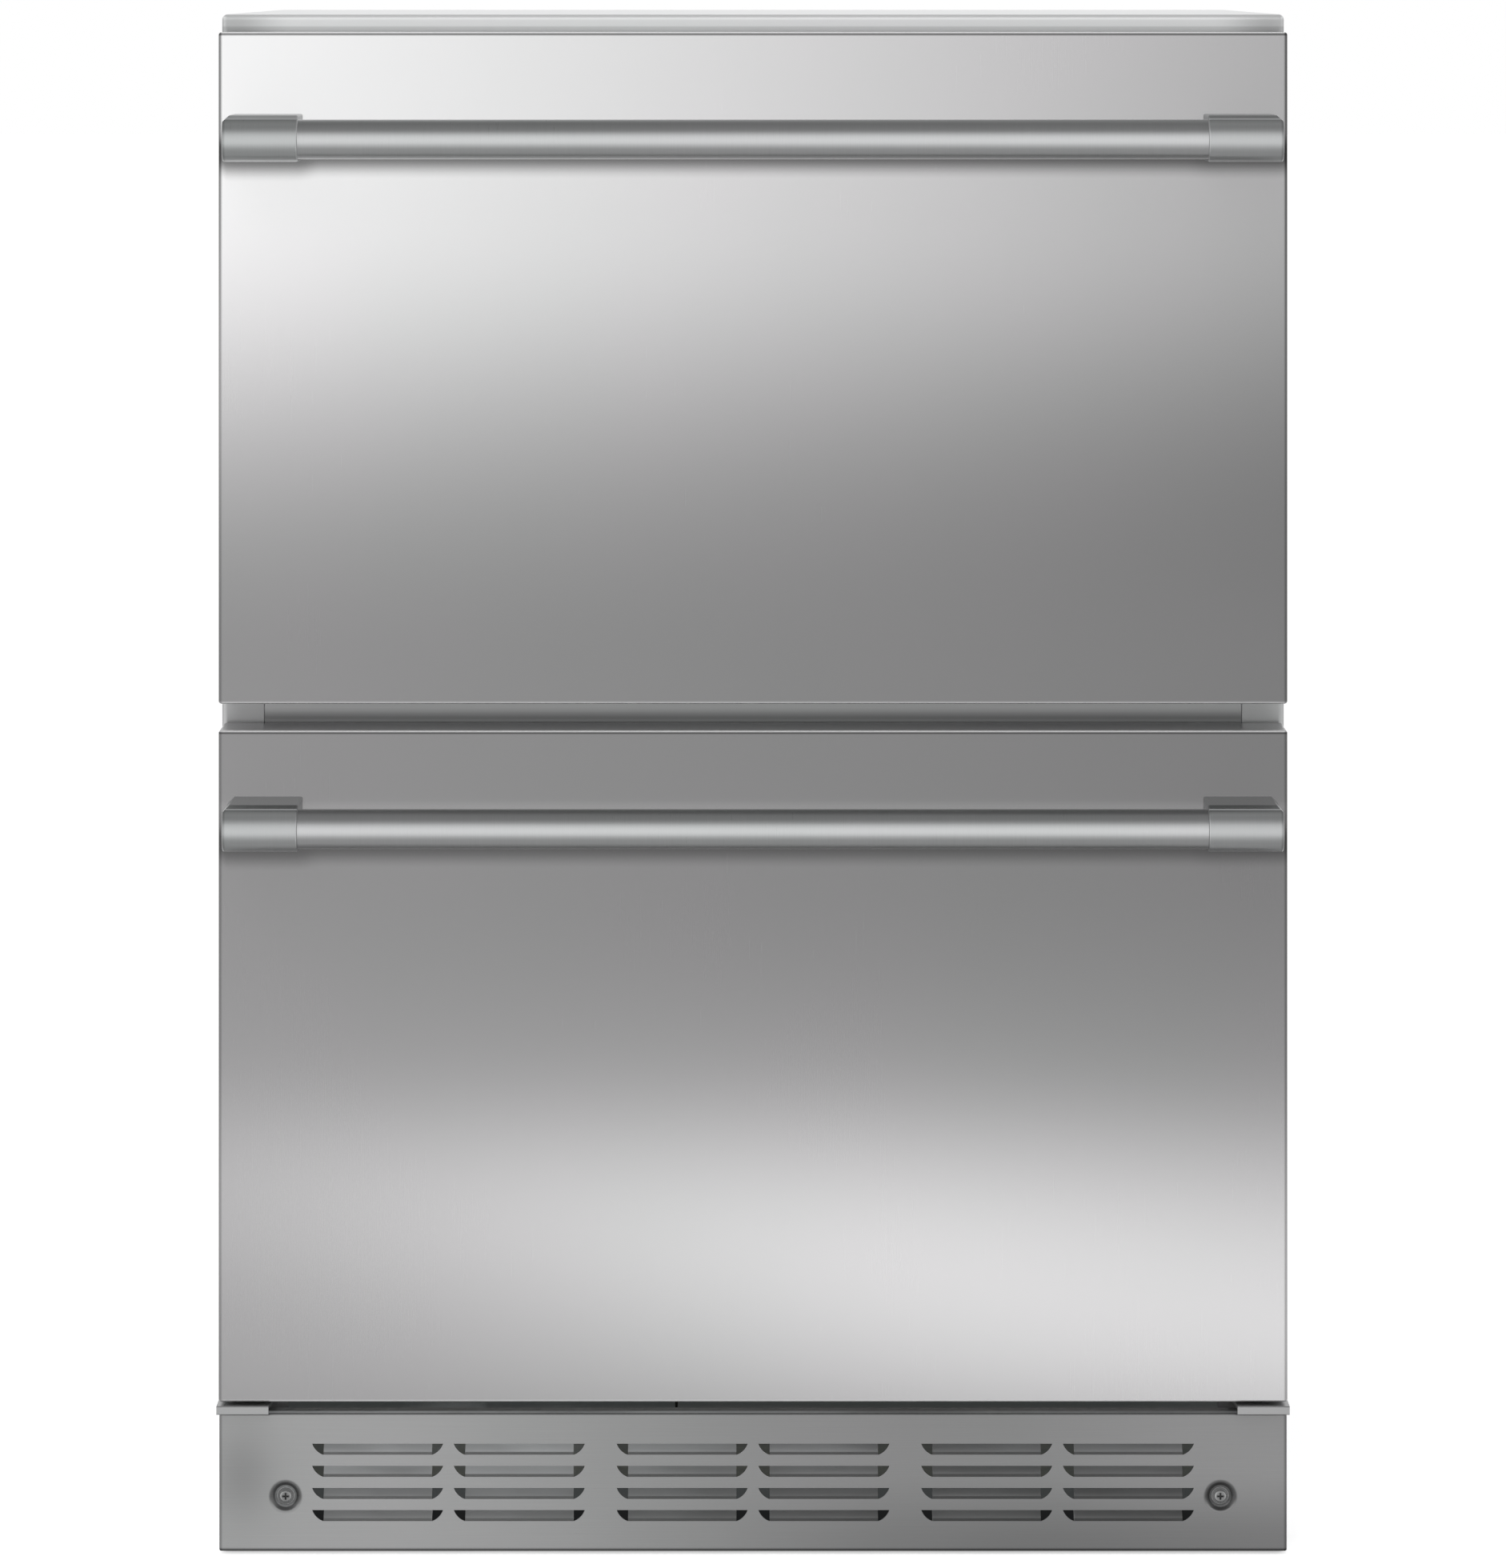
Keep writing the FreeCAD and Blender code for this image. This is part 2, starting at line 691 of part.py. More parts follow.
@piece
def corner_brackets():
    """Brackets under the lower drawer front, with a rolled front lip."""
    face, back = dim.face, dim.cabinet_front
    inner, outer, lip_low, under, top = 270.8, 302.6, 80.3, 83.4, 85.2
    corner = prism("YZ", inner, outer, [[
        (face - 2, lip_low), (face - 1, lip_low), (face - 1, under), (back - 1.5, under),
        (back - 1.5, 60), (back, 60), (back, top), (face - 1, top, face - 1.75, 84.9),
        (face - 2, 84.1)]])
    pocket(corner, "XY", 78, 88, [[
        (inner - 1, face - 5), (inner + 2.6, face - 5), (inner, back - 12),
        (inner - 1, back - 12)]])
    soften(corner, 0.6, lambda edge: near(centre(edge).z, lip_low, 0.1) and along_x(edge)
           and near(centre(edge).y, face - 2, 0.1))
    return both(corner)


# ---------------------------------------------------------------- compressor
CAN_X, CAN_Y = dim.can_across, dim.can_deep
LEFT_STUB = (CAN_X - 34, CAN_Y + 40)
RIGHT_STUB = (CAN_X + 22, CAN_Y + 44)
STUB_TOP = 205


@piece
def compressor():
    """A domed can on a foot plate, with a side box and two tube stubs."""
    radius, stub_wall = dim.can_radius, 1.2
    stub_sizes = ((4.2, LEFT_STUB), (5.0, RIGHT_STUB))
    can = spun([
        (0, 36), (58, 36), (radius - 2, 44, radius - 0.5, 47), (radius, 52), (radius, 96),
        (radius + 3, 96), (radius + 3, 101), (radius, 101), (radius, 148),
        (radius - 5, 168, radius - 22, 186), (38, 193), (0, 196)], CAN_X, CAN_Y, 0)
    plate = rounded(box(CAN_X - 92, CAN_X + 92, CAN_Y - 56, CAN_Y + 56, 33, 36), 12, along_z)
    holes = [cylinder(7.0, 30, 37, x, y) for x, y in MOUNT_SPOTS]
    terminal = rounded(box(CAN_X - radius - 12, CAN_X - radius + 8, CAN_Y - 32, CAN_Y + 26,
                           88, 140), 3, along_x)
    stubs = [cylinder(r, 120, STUB_TOP, *spot) for r, spot in stub_sizes]
    bores = [cylinder(r - stub_wall, 196, 210, *spot) for r, spot in stub_sizes]
    return cut(fuse(can, plate, terminal, *stubs), *holes, *bores)


@piece
def compressor_mounts():
    """Waisted grommets between the base pan and the foot plate."""
    profile = [
        (3.4, dim.shell_bottom + 1.5), (11, dim.shell_bottom + 1.5), (11, 24), (8.2, 26),
        (8.2, 30), (11, 32.9), (6.9, 32.9), (6.9, 36.2), (10, 36.2), (10, 40), (3.4, 40)]
    return group(*[spun(profile, x, y, 0) for x, y in MOUNT_SPOTS])


# ---------------------------------------------------------------- finned coils
def finned(x0, x1, y0, y1, z0, z1, pitch, rows):
    """Upright fin plates threaded on a serpentine tube with returns past each end."""
    tube_radius, fin, overhang = 4.8, 1.2, 6
    step = (z1 - z0) / rows
    middle_y = (y0 + y1) / 2
    ends = (x0 - overhang, x1 + overhang)
    points = [(ends[1], middle_y, z0 + step / 2)]
    for i in range(rows):
        z, x = z0 + step * (i + 0.5), ends[i % 2]
        points.append((x, middle_y, z))
        if i < rows - 1:
            points.append((x, middle_y, z + step))
    pieces = [piped(points, tube_radius, step / 2)]
    gaps = int((x1 - x0) / pitch)
    first = (x0 + x1 - gaps * pitch) / 2
    for i in range(gaps + 1):
        x = first + pitch * i
        pieces.append(box(x - fin / 2, x + fin / 2, y0, y1, z0, z1))
    return fuse(*pieces)


@piece
def condenser_coil():
    return finned(-278, -60, 108, 144, 24, 200, pitch=8.0, rows=6)


# The condenser tube's depth, and the heights of its lowest and highest runs.
COIL_Y, COIL_LOW, COIL_HIGH = 126, 38.667, 185.333

# ---------------------------------------------------------------- condenser fan
FAN_X, FAN_Z = dim.fan_across, dim.fan_height


@piece
def fan_shroud():
    """A plate with a drawn ring, side walls that hold the coil, and arms behind the ring."""
    low, high, left, right, gauge = 17.6, 208, -294.5, -46, 1.5
    wall_front, rim, arm_half, arm_front, arm_back = 150, 84, 5, 192, 195
    wall_back = wall_front + gauge
    wall = prism("XZ", wall_front, wall_back, [rect(left, right, low, high)])
    ring = fuse(cylinder(rim, 151, 172, FAN_X, FAN_Z, "Y"),
                cone(92, rim, wall_front, 158, FAN_X, FAN_Z, "Y"))
    sides = [box(left, left + gauge, 100, 151, low, high),
             cut(box(right - gauge, right, 100, 151, low, high),
                 cylinder(3.4, -50, -40, COIL_Y, COIL_LOW, "X"),
                 cylinder(4.4, -50, -40, COIL_Y, COIL_HIGH, "X"))]

    def arm(x0, x1, y0, z0, z1):
        return box(FAN_X + x0, FAN_X + x1, y0, arm_back, FAN_Z + z0, FAN_Z + z1)

    inner, leg_front = rim - 3, 166
    arms = [arm(-rim, rim, arm_front, -arm_half, arm_half),
            arm(-arm_half, arm_half, arm_front, -rim, rim),
            arm(-rim, -inner, leg_front, -arm_half, arm_half),
            arm(inner, rim, leg_front, -arm_half, arm_half),
            arm(-arm_half, arm_half, leg_front, inner, rim),
            arm(-arm_half, arm_half, leg_front, -rim, -inner)]
    shroud = cut(fuse(wall, ring, *sides), cylinder(82, 140, 180, FAN_X, FAN_Z, "Y"),
                 cone(90.5, 82, 149.9, 157, FAN_X, FAN_Z, "Y"))
    return cut(fuse(shroud, *arms), cylinder(3.2, 180, 200, FAN_X, FAN_Z, "Y"))


@piece
def condenser_fan_motor():
    return spun([
        (3.3, 0), (21, 0, 23.12132, 0.87868), (24, 3), (24, 30), (26, 30), (26, 36), (24, 36),
        (24, 52, 22.9, 55), (20, 56), (0, 58), (0, 30), (3.3, 30)], FAN_X, 195, FAN_Z, "Y")


def fan(x, y, z, radius, hub, deep, blades, shaft, reach):
    """A hub with pitched blades and a shaft that runs back into the motor."""
    core = spun([
        (0, 0), (hub * 0.8, 0, hub * 0.94, hub * 0.06), (hub, hub * 0.2), (hub, deep),
        (hub - 2, deep), (hub - 2, 3), (shaft + 2.5, 3), (shaft + 2.5, deep), (shaft, deep),
        (shaft, reach), (0, reach)], 0, 0, 0, "Y")
    pieces = [core]
    envelope = cut(cylinder(radius, 0, deep, 0, 0, "Y"),
                   cylinder(hub - 1.0, -1, deep + 1, 0, 0, "Y"))
    thick, chord, pitch_angle = 1.8, 0.95, 28
    for i in range(blades):
        slab = doc.addObject("Part::Box", fresh("blade"))
        slab.Length, slab.Width, slab.Height = radius, thick, radius * chord
        turn = R(V(0, 1, 0), 360.0 * i / blades) * R(V(1, 0, 0), pitch_angle)
        corner = turn.multVec(V(0, -thick / 2, -radius * chord / 2)) + V(0, deep / 2, 0)
        slab.Placement = FreeCAD.Placement(corner, turn)
        pieces.append(common(slab, envelope))
    return place(fuse(*pieces), x, y, z)


@piece
def condenser_fan_blade():
    return fan(FAN_X, 157, FAN_Z, radius=78, hub=22, deep=20, blades=5, shaft=3.0, reach=60)


# ---------------------------------------------------------------- drier and tubing
DRIER_X, DRIER_Z = 4, 120


@piece
def filter_drier():
    return spun([(0, -46), (3.2, -46), (3.2, -38), (10, -30), (10, 30), (3.2, 38), (3.2, 46),
                 (0, 46)], DRIER_X, COIL_Y, DRIER_Z)


@piece
def refrigerant_tubing():
    """Four bent tubes that join the compressor, coil and drier or rise to the bay roof."""
    coil_end, roof, drier_end = -53.9, 256.8, 46.1
    stub_end = STUB_TOP + 0.1
    left_x, left_y = LEFT_STUB
    right_x, right_y = RIGHT_STUB
    drier_low, drier_high = DRIER_Z - drier_end, DRIER_Z + drier_end
    return group(
        piped([(left_x, left_y, stub_end), (left_x, left_y, 232), (-70, left_y, 232),
               (-70, COIL_Y, 232), (-28, COIL_Y, 232), (-28, COIL_Y, COIL_HIGH),
               (coil_end, COIL_Y, COIL_HIGH)], radius=3.0, bend=12, bore=2.2),
        piped([(coil_end, COIL_Y, COIL_LOW), (DRIER_X, COIL_Y, COIL_LOW),
               (DRIER_X, COIL_Y, drier_low)], radius=2.2, bend=12, bore=1.4),
        piped([(DRIER_X, COIL_Y, drier_high), (DRIER_X, COIL_Y, 222), (60, COIL_Y, 222),
               (60, COIL_Y, roof)], radius=2.2, bend=12, bore=1.4),
        piped([(right_x, right_y, stub_end), (right_x, right_y, 226), (right_x, COIL_Y, 226),
               (90, COIL_Y, 226), (90, COIL_Y, roof)], radius=4.2, bend=14, bore=3.4))


# ---------------------------------------------------------------- rest of the machine bay
@piece
def drain_pan():
    low = dim.shell_bottom + 1.6
    tray = rounded(box(-38, 50, 168, 290, low, 44), 6, along_z)
    return cut(tray, rounded(box(-36, 48, 170, 288, low + 2, 50), 4.5, along_z))


@piece
def control_box():
    relay = prism("XY", 188, dim.bay_roof - 0.1, [rect(-45, 44, 150, 236)])
    soften(relay, 4.0, along_z)
    pocket(relay, "XY", 189.8, 254, [rect(-43, 42, 152, 234)])
    return relay


CORD_X, CORD_Z = -20, 150  # where the cord passes through the rear cover


@piece
def rear_cover():
    """A slotted sheet over the machine bay, notched round the base pan's sides."""
    y, low, half = dim.bay_cover, dim.shell_bottom, dim.cabinet_half
    cover = prism("XZ", y, y + 1, [wide_rect(half - 1.2, low + 1.8, dim.bay_roof - 0.1)])
    slots = [box(x - 30, x + 30, y - 3, y + 3, 60 + 13 * i, 65 + 13 * i)
             for x in (-200, -125, 120, 195) for i in range(13)]
    notches = [side_box(side, half - 3.1, half, y - 3, y + 3, low, low + 24.3)
               for side in (1, -1)]
    return cut(cover, *slots, *notches, cylinder(6.2, y - 3, y + 3, CORD_X, CORD_Z, "Y"))


@piece
def power_cord():
    """A cord coiled flat against the cover, with its grommet and a three-pin plug."""
    cover, coil_y, plug_z = dim.bay_cover, 316, 140
    # (x, z) turns of the flat coil
    turns = [(CORD_X, CORD_Z), (-2, 150), (20, 150), (60, 214), (250, 214), (250, 70), (30, 70),
             (30, 205), (240, 205), (240, 79), (40, 79), (40, 196), (231, 196), (231, plug_z),
             (176, plug_z)]
    points = [(CORD_X, 236.1, 206), (CORD_X, 270, 206), (CORD_X, 270, CORD_Z)]
    points += [(x, coil_y, z) for x, z in turns]
    cord = piped(points, radius=3.7, bend=26)
    bush = fuse(cylinder(6.0, cover - 1.5, cover + 3, CORD_X, CORD_Z, "Y"),
                cylinder(9, cover + 1.1, cover + 3.5, CORD_X, CORD_Z, "Y"))
    plug = rounded(box(140, 176, 308, 327, 128, 152), 4, along_x)
    pins = [box(120, 141, 311, 317.3, 132.5, 134), box(120, 141, 311, 317.3, 146, 147.5),
            cylinder(2.4, 118, 141, 322.5, plug_z, "X")]
    return fuse(cord, bush, plug, cone(6.5, 4.2, 175.5, 192, coil_y, plug_z, "X"), *pins)


# ---------------------------------------------------------------- evaporator
EVAP_FAN_Z = dim.evap_fan_height
COVER_FRONT, COVER_INSIDE = 226, 228


@piece
def evaporator_coil():
    return finned(-205, 205, 238, 276, 318, 690, pitch=10.0, rows=9)


@piece
def evaporator_cover():
    """A tray over the coil with a fan grille near the top and rows of slots near the foot."""
    low, z = dim.step_top + 12, EVAP_FAN_Z
    cover = prism("XZ", COVER_FRONT, dim.cavity_back - 0.1, [wide_rect(244, low, 814)])
    soften(cover, 6.0, lambda edge: near(centre(edge).y, COVER_FRONT, 0.1))
    pocket(cover, "XZ", COVER_INSIDE, dim.cavity_back + 2, [wide_rect(242, low + 2, 812)])
    pocket(cover, "XZ", 220, 240, [], [(0, z, 47)])
    grille = [cut(cylinder(r, COVER_FRONT, COVER_INSIDE, 0, z, "Y"),
                  cylinder(r - 2.2, 220, 230, 0, z, "Y")) for r in (40, 29)]
    grille += [wide_box(half, COVER_FRONT, COVER_INSIDE, z - tall, z + tall)
               for half, tall in ((48, 1.3), (1.3, 48))]
    grille.append(cylinder(16, COVER_FRONT, COVER_INSIDE, 0, z, "Y"))
    vents = [box(x - 32, x + 32, 220, 240, 322 + 13 * i, 327 + 13 * i)
             for x in (-150, -50, 50, 150) for i in range(6)]
    return fuse(cut(cover, *vents), *grille)


@piece
def evaporator_fan_motor():
    """A small motor on an upright strap that is bent forward to the cover."""
    z, back = EVAP_FAN_Z, 272
    strap = fuse(wide_box(4, 269.9, back, z - 50, z + 50),
                 wide_box(4, COVER_INSIDE, back, z + 50, z + 53),
                 wide_box(4, COVER_INSIDE, back, z - 53, z - 50))
    motor = spun([(2.3, 0), (15, 0, 16.4, 0.6), (17, 2), (17, 21), (14, 23.5), (0, 23.5),
                  (0, 12), (2.3, 12)], 0, 246.4, z, "Y")
    return fuse(motor, strap)


@piece
def evaporator_fan_blade():
    return fan(0, 230, EVAP_FAN_Z, radius=43, hub=13, deep=13, blades=4, shaft=2.0, reach=27)


# ---------------------------------------------------------------- top of the cavity
CEILING = dim.cavity_roof - 0.1
BUTTONS = (("left", -40), ("middle", 0), ("right", 40))
BUTTON_Z = 813


@piece
def control_panel():
    """A bar under the ceiling with three button sockets and a shallow window."""
    half = 130
    console = prism("YZ", -half, half, [[
        (-213, 801), (-178, 801), (-178, CEILING), (-211, CEILING)]])
    soften(console, 2.0, lambda edge: abs(centre(edge).x) > half - 0.1
           and not along_z(edge) and near(centre(edge).y, -212, 2))
    sockets = [cylinder(5.1, -220, -205, x, BUTTON_Z, "Y") for _, x in BUTTONS]
    return cut(console, *sockets, box(62, 112, -216, -211.4, 806, 820))


for place_name, button_x in BUTTONS:
    node("button_" + place_name, spun(
        [(0, 0), (4.2, 0, 4.77, 0.23), (5.0, 0.8), (5.0, 8.0), (0, 8.0)],
        button_x, -215.5, BUTTON_Z, "Y"))


@piece
def led_light():
    return prism("YZ", -105, 105, [[(-170, CEILING), (-166, 819), (-146, 819), (-142, CEILING)]])


# ---------------------------------------------------------------- telescopic slides
# Channel outlines: (distance from the cavity wall, height above the slide's middle)
OUTER_RAIL = [
    (0, -22.5), (0, 22.5), (11.4, 22.5), (11.4, 17.8), (10.4, 17.8), (10.4, 21.3),
    (1.2, 21.3), (1.2, -21.3), (10.4, -21.3), (10.4, -17.8), (11.4, -17.8), (11.4, -22.5)]
MIDDLE_RAIL = [
    (3.1, -16.6), (3.1, 16.6), (9.6, 16.6), (9.6, 15.4), (4.3, 15.4), (4.3, -15.4),
    (9.6, -15.4), (9.6, -16.6)]
INNER_RAIL = [
    (6.2, -10.5), (6.2, -9.3), (10.5, -9.3), (10.5, 9.3), (6.2, 9.3), (6.2, 10.5),
    (11.7, 10.5), (11.7, -10.5)]


def rail(height, front, back, outline):
    """A rolled channel that runs along Y."""
    return prism("XZ", front, back, [[(dim.cavity_half - u, height + v) for u, v in outline]])


def outer_rails(height):
    wall = dim.cavity_half
    bar = rail(height, dim.slide_front, dim.slide_back, OUTER_RAIL)
    heads = [cylinder(3.4, wall - 2.3, wall - 1.0, y, height, "X") for y in (-180, 5, 190)]
    return both(fuse(bar, *heads))


def pierced_rails(height, outline, hole_places, hole_radius):
    bar = rail(height, dim.slide_front + 0.5, dim.slide_back - 3, outline)
    return both(cut(bar, *[cylinder(hole_radius, 240, 262, y, height, "X")
                           for y in hole_places]))


for level in ("upper", "lower"):
    slide_z = getattr(dim, level + "_slide_height")
    node(level + "_outer_rails", outer_rails(slide_z))
    node(level + "_middle_rails", pierced_rails(slide_z, MIDDLE_RAIL, (-150, -30, 90, 170), 4.0))
    node(level + "_inner_rails", pierced_rails(slide_z, INNER_RAIL, (-190, -80, 60, 180), 2.2))


# ---------------------------------------------------------------- drawers
SKIN_BACK = dim.face + dim.skin_deep
PLUG_BACK = dim.bin_front - 0.1
HANDLE_Y = dim.face - dim.handle_reach
HANDLE_SCREW_X = (dim.ferrule_in + dim.ferrule_out) * 0.5


class Drawer:
    """The heights that set one drawer apart from the other."""

    def __init__(self, level, plug_low, plug_high, seal_above_low, seal_below_high):
        self.level = level
        self.low = getattr(dim, level + "_floor")
        self.high = self.low + dim.front_tall
        self.handle = getattr(dim, level + "_handle_height")
        self.plug_low, self.plug_high = plug_low, plug_high
        self.seal_low = self.low + seal_above_low
        self.seal_high = self.high - seal_below_high
        self.bin_low = getattr(dim, level + "_bin_low")
        self.bin_high = getattr(dim, level + "_bin_high")


def handle_holes(drawer, radius, y0, y1):
    return [cylinder(radius, y0, y1, side * HANDLE_SCREW_X, drawer.handle, "Y")
            for side in SIDES]


def drawer_front(drawer):
    """The outer skin with a turned-in rear lip."""
    face, gauge, half, lip = dim.face, dim.skin_sheet, dim.front_half, 6
    low, high = drawer.low, drawer.high
    block = rounded(wide_box(half, face, SKIN_BACK, low, high), 1.6,
                    lambda edge: edge.BoundBox.YMax < face.value + 1e-3 or along_y(edge))
    skin = cut(block,
               wide_box(half - gauge, face + gauge, SKIN_BACK - gauge, low + gauge, high - gauge),
               wide_box(half - lip, SKIN_BACK - 5, SKIN_BACK + 5, low + lip, high - lip))
    return cut(skin, *handle_holes(drawer, 3.1, face - 5, face + 5))


def drawer_foam(drawer):
    """The core inside the skin, with a block that fills the liner's plug."""
    gap = dim.skin_sheet + 0.1
    core = fuse(wide_box(dim.front_half - gap, dim.face + gap, SKIN_BACK - 2.6,
                         drawer.low + gap, drawer.high - gap),
                wide_box(251.4, SKIN_BACK - 3, PLUG_BACK - 2.6,
                         drawer.plug_low + 2.6, drawer.plug_high - 2.6))
    return cut(core, *handle_holes(drawer, 9, dim.face, dim.face + 16))


def drawer_liner(drawer):
    """The moulded inner panel with a raised, hollow plug."""
    margin, wall, half = 6.2, 2.5, 254
    low, high = drawer.plug_low, drawer.plug_high
    board = prism("XZ", SKIN_BACK - wall, SKIN_BACK,
                  [wide_rect(dim.front_half - margin, drawer.low + margin, drawer.high - margin)])
    boss = rounded(wide_box(half, SKIN_BACK - 1, PLUG_BACK, low, high), 6.0,
                   lambda edge: edge.BoundBox.YMax > PLUG_BACK.value - 6.1
                   and (edge.BoundBox.YMin > PLUG_BACK.value - 0.1 or along_y(edge)))
    bowl = wide_box(half - wall, SKIN_BACK - 5, PLUG_BACK - wall, low + wall, high - wall)
    return cut(fuse(board, boss), bowl)


def gasket(drawer):
    """A square-cornered frame behind the drawer front."""
    out, wide, back = dim.gasket_out, dim.gasket_wide, dim.cabinet_front - 0.05
    low, high = drawer.seal_low, drawer.seal_high
    frame = prism("XZ", SKIN_BACK + 0.05, back, [
        wide_rect(out, low, high), wide_rect(out - wide, low + wide, high - wide)])
    soften(frame, 1.6, lambda edge: near(centre(edge).y, back, 0.01))
    return frame


def handle_bar(drawer):
    end, z = dim.ferrule_in, drawer.handle
    return cut(cylinder(dim.tube_radius, -(end + 11), end + 11, HANDLE_Y, z, "X"),
               cylinder(dim.tube_bore, -(end + 20), end + 20, HANDLE_Y, z, "X"))


def handle_posts(drawer):
    """End posts, round in front and flat on top, with a socket for the tube."""
    face, y, z, radius = dim.face, HANDLE_Y, drawer.handle, dim.ferrule_radius
    inner, outer, top = dim.ferrule_in, dim.ferrule_out, z + dim.post_rise
    post = prism("YZ", inner, outer, [[
        (face, z - radius), (face, top), (y, top), (y - 5.5, z + 11.8),
        (y - 5.52, z + 11.2, y - radius, z), (y - 5.52, z - 11.2, y - 2.8, z - 12.18),
        (y, z - radius)]])
    dress(post, "Chamfer", "Size", dim.post_bevel, lambda edge:
          near(centre(edge).x, outer, 0.01) and near(centre(edge).z, top, 0.01))
    soften(post, 1.0, lambda edge: near(centre(edge).x, outer, 0.01)
           or (near(centre(edge).x, inner, 0.01) and centre(edge).y < face.value - 4))
    pocket(post, "YZ", inner - 1, inner + 11.5, [], [(y, z, dim.tube_radius + 0.05)])
    return both(cut(post, cylinder(2.5, face - 26, face + 1, HANDLE_SCREW_X, z, "Y")))


def handle_screws(drawer):
    """Screws driven from inside the skin, heads towards the back."""
    x, y, z, rise = HANDLE_SCREW_X, dim.face + dim.skin_sheet, drawer.handle, 5.8
    screw = spun([
        (0, -18), (1.9, -18), (2.45, -17.2), (2.45, 0), (7.5, 0), (7.5, 1.2), (5.2, 1.2),
        (5.2, 4.2, 4.4, 5.4), (2.6, rise), (0, rise)], x, y, z, "Y")
    top = y + rise
    return both(cut(screw, *cross_recess(x, top - 2.6, top + 1, z, across=5.0, width=1.3)))


def bin_block(drawer, inset, rise, radius):
    """The bin's outline drawn in by inset and raised by rise, rounded but for its top."""
    half, top = dim.bin_half - inset, drawer.bin_high + rise
    front, back, low = dim.bin_front + inset, dim.bin_back - inset, drawer.bin_low + inset
    if drawer.level == "upper":
        block = wide_box(half, front, back, low, top)
    else:
        block = prism("YZ", -half, half, [stepped(
            front, low, dim.bin_step_back - inset, dim.bin_step_low + inset, back, top)])
    return rounded(block, radius, away_from_height(top))


def drawer_bin(drawer):
    """An open tub with a rim at the sides and back; the lower one steps over the bay."""
    top = drawer.bin_high
    tub = bin_block(drawer, inset=0, rise=0, radius=10.0)
    hole = bin_block(drawer, inset=dim.bin_wall, rise=20, radius=7.5)
    lip = rounded(wide_box(dim.bin_half + 6, dim.bin_front, dim.bin_back + 6, top - 2.5, top),
                  9.0, lambda edge: along_z(edge) and centre(edge).y > 0)
    return cut(fuse(tub, lip), hole)


def divider(drawer):
    """A sliding divider hooked over the bin's rim."""
    top, inner = drawer.bin_high, dim.bin_half - dim.bin_wall
    gauge, hook_out = 2, dim.bin_half + 8.6
    if drawer.level == "upper":
        low = drawer.bin_low + dim.bin_wall + 8
    else:
        low = dim.bin_step_low + dim.bin_wall + 4
    plate = rounded(wide_box(inner - 0.8, -1, 1, low, top + 2.2), 8.0,
                    lambda edge: along_y(edge) and centre(edge).z < top.value - 20)
    hooks = []
    for side in SIDES:
        hooks.append(side_box(side, inner - 3, hook_out, -14, 14, top + 0.2, top + 2.2))
        hooks.append(side_box(side, hook_out - gauge, hook_out, -14, 14, top - 6, top + 2.2))
    return fuse(plate, *hooks)


for drawer in (Drawer("upper", 512.0, 790.0, dim.gasket_lift, dim.gasket_drop),
               Drawer("lower", dim.cavity_floor + 5, 434.0, dim.gasket_drop, dim.gasket_lift)):
    for build in (drawer_front, drawer_foam, drawer_liner, gasket, handle_bar, handle_posts,
                  handle_screws, drawer_bin, divider):
        node("%s_%s" % (drawer.level, build.__name__), build(drawer))

# ---------------------------------------------------------------- write
doc.recompute()
bad = [obj.Name for obj in doc.Objects if "Invalid" in obj.State or "Error" in obj.State]
if bad:
    raise RuntimeError("objects in error: " + ", ".join(bad))
os.makedirs("parts", exist_ok=True)
for name, obj in NODES.items():
    if obj.Shape.isNull() or not obj.Shape.isValid() or not obj.Shape.Solids:
        raise RuntimeError("bad shape: " + name)
    obj.Shape.exportStep("parts/%s.step" % name)
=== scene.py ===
"""Looks for a two-drawer undercounter refrigerator: metres, in the frame's own axes (+Z up, -Y front)."""
import bpy
import bmesh
import json
import math
import random
from mathutils import Vector, Matrix


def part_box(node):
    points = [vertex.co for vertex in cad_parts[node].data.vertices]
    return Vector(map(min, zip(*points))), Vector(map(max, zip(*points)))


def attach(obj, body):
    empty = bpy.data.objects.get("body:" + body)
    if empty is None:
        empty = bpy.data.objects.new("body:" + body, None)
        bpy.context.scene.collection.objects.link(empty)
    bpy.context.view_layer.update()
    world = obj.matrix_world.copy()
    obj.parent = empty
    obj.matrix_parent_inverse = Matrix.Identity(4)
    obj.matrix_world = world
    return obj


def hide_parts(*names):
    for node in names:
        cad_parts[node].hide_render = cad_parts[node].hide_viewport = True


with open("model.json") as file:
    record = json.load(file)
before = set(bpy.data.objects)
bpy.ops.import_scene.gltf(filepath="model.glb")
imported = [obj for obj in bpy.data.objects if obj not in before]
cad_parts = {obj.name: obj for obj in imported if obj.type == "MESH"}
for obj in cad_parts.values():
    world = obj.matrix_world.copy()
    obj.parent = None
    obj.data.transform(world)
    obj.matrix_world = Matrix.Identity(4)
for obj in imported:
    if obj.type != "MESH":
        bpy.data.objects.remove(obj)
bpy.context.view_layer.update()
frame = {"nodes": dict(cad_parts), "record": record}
NODES = frame["nodes"]
RECORD = frame["record"]
SLOT = {s["node"]: s["material_slot"] for s in RECORD["subparts"]}
scene = bpy.context.scene
rng = random.Random(7)


def lo(node):
    return Vector(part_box(node)[0])


def hi(node):
    return Vector(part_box(node)[1])


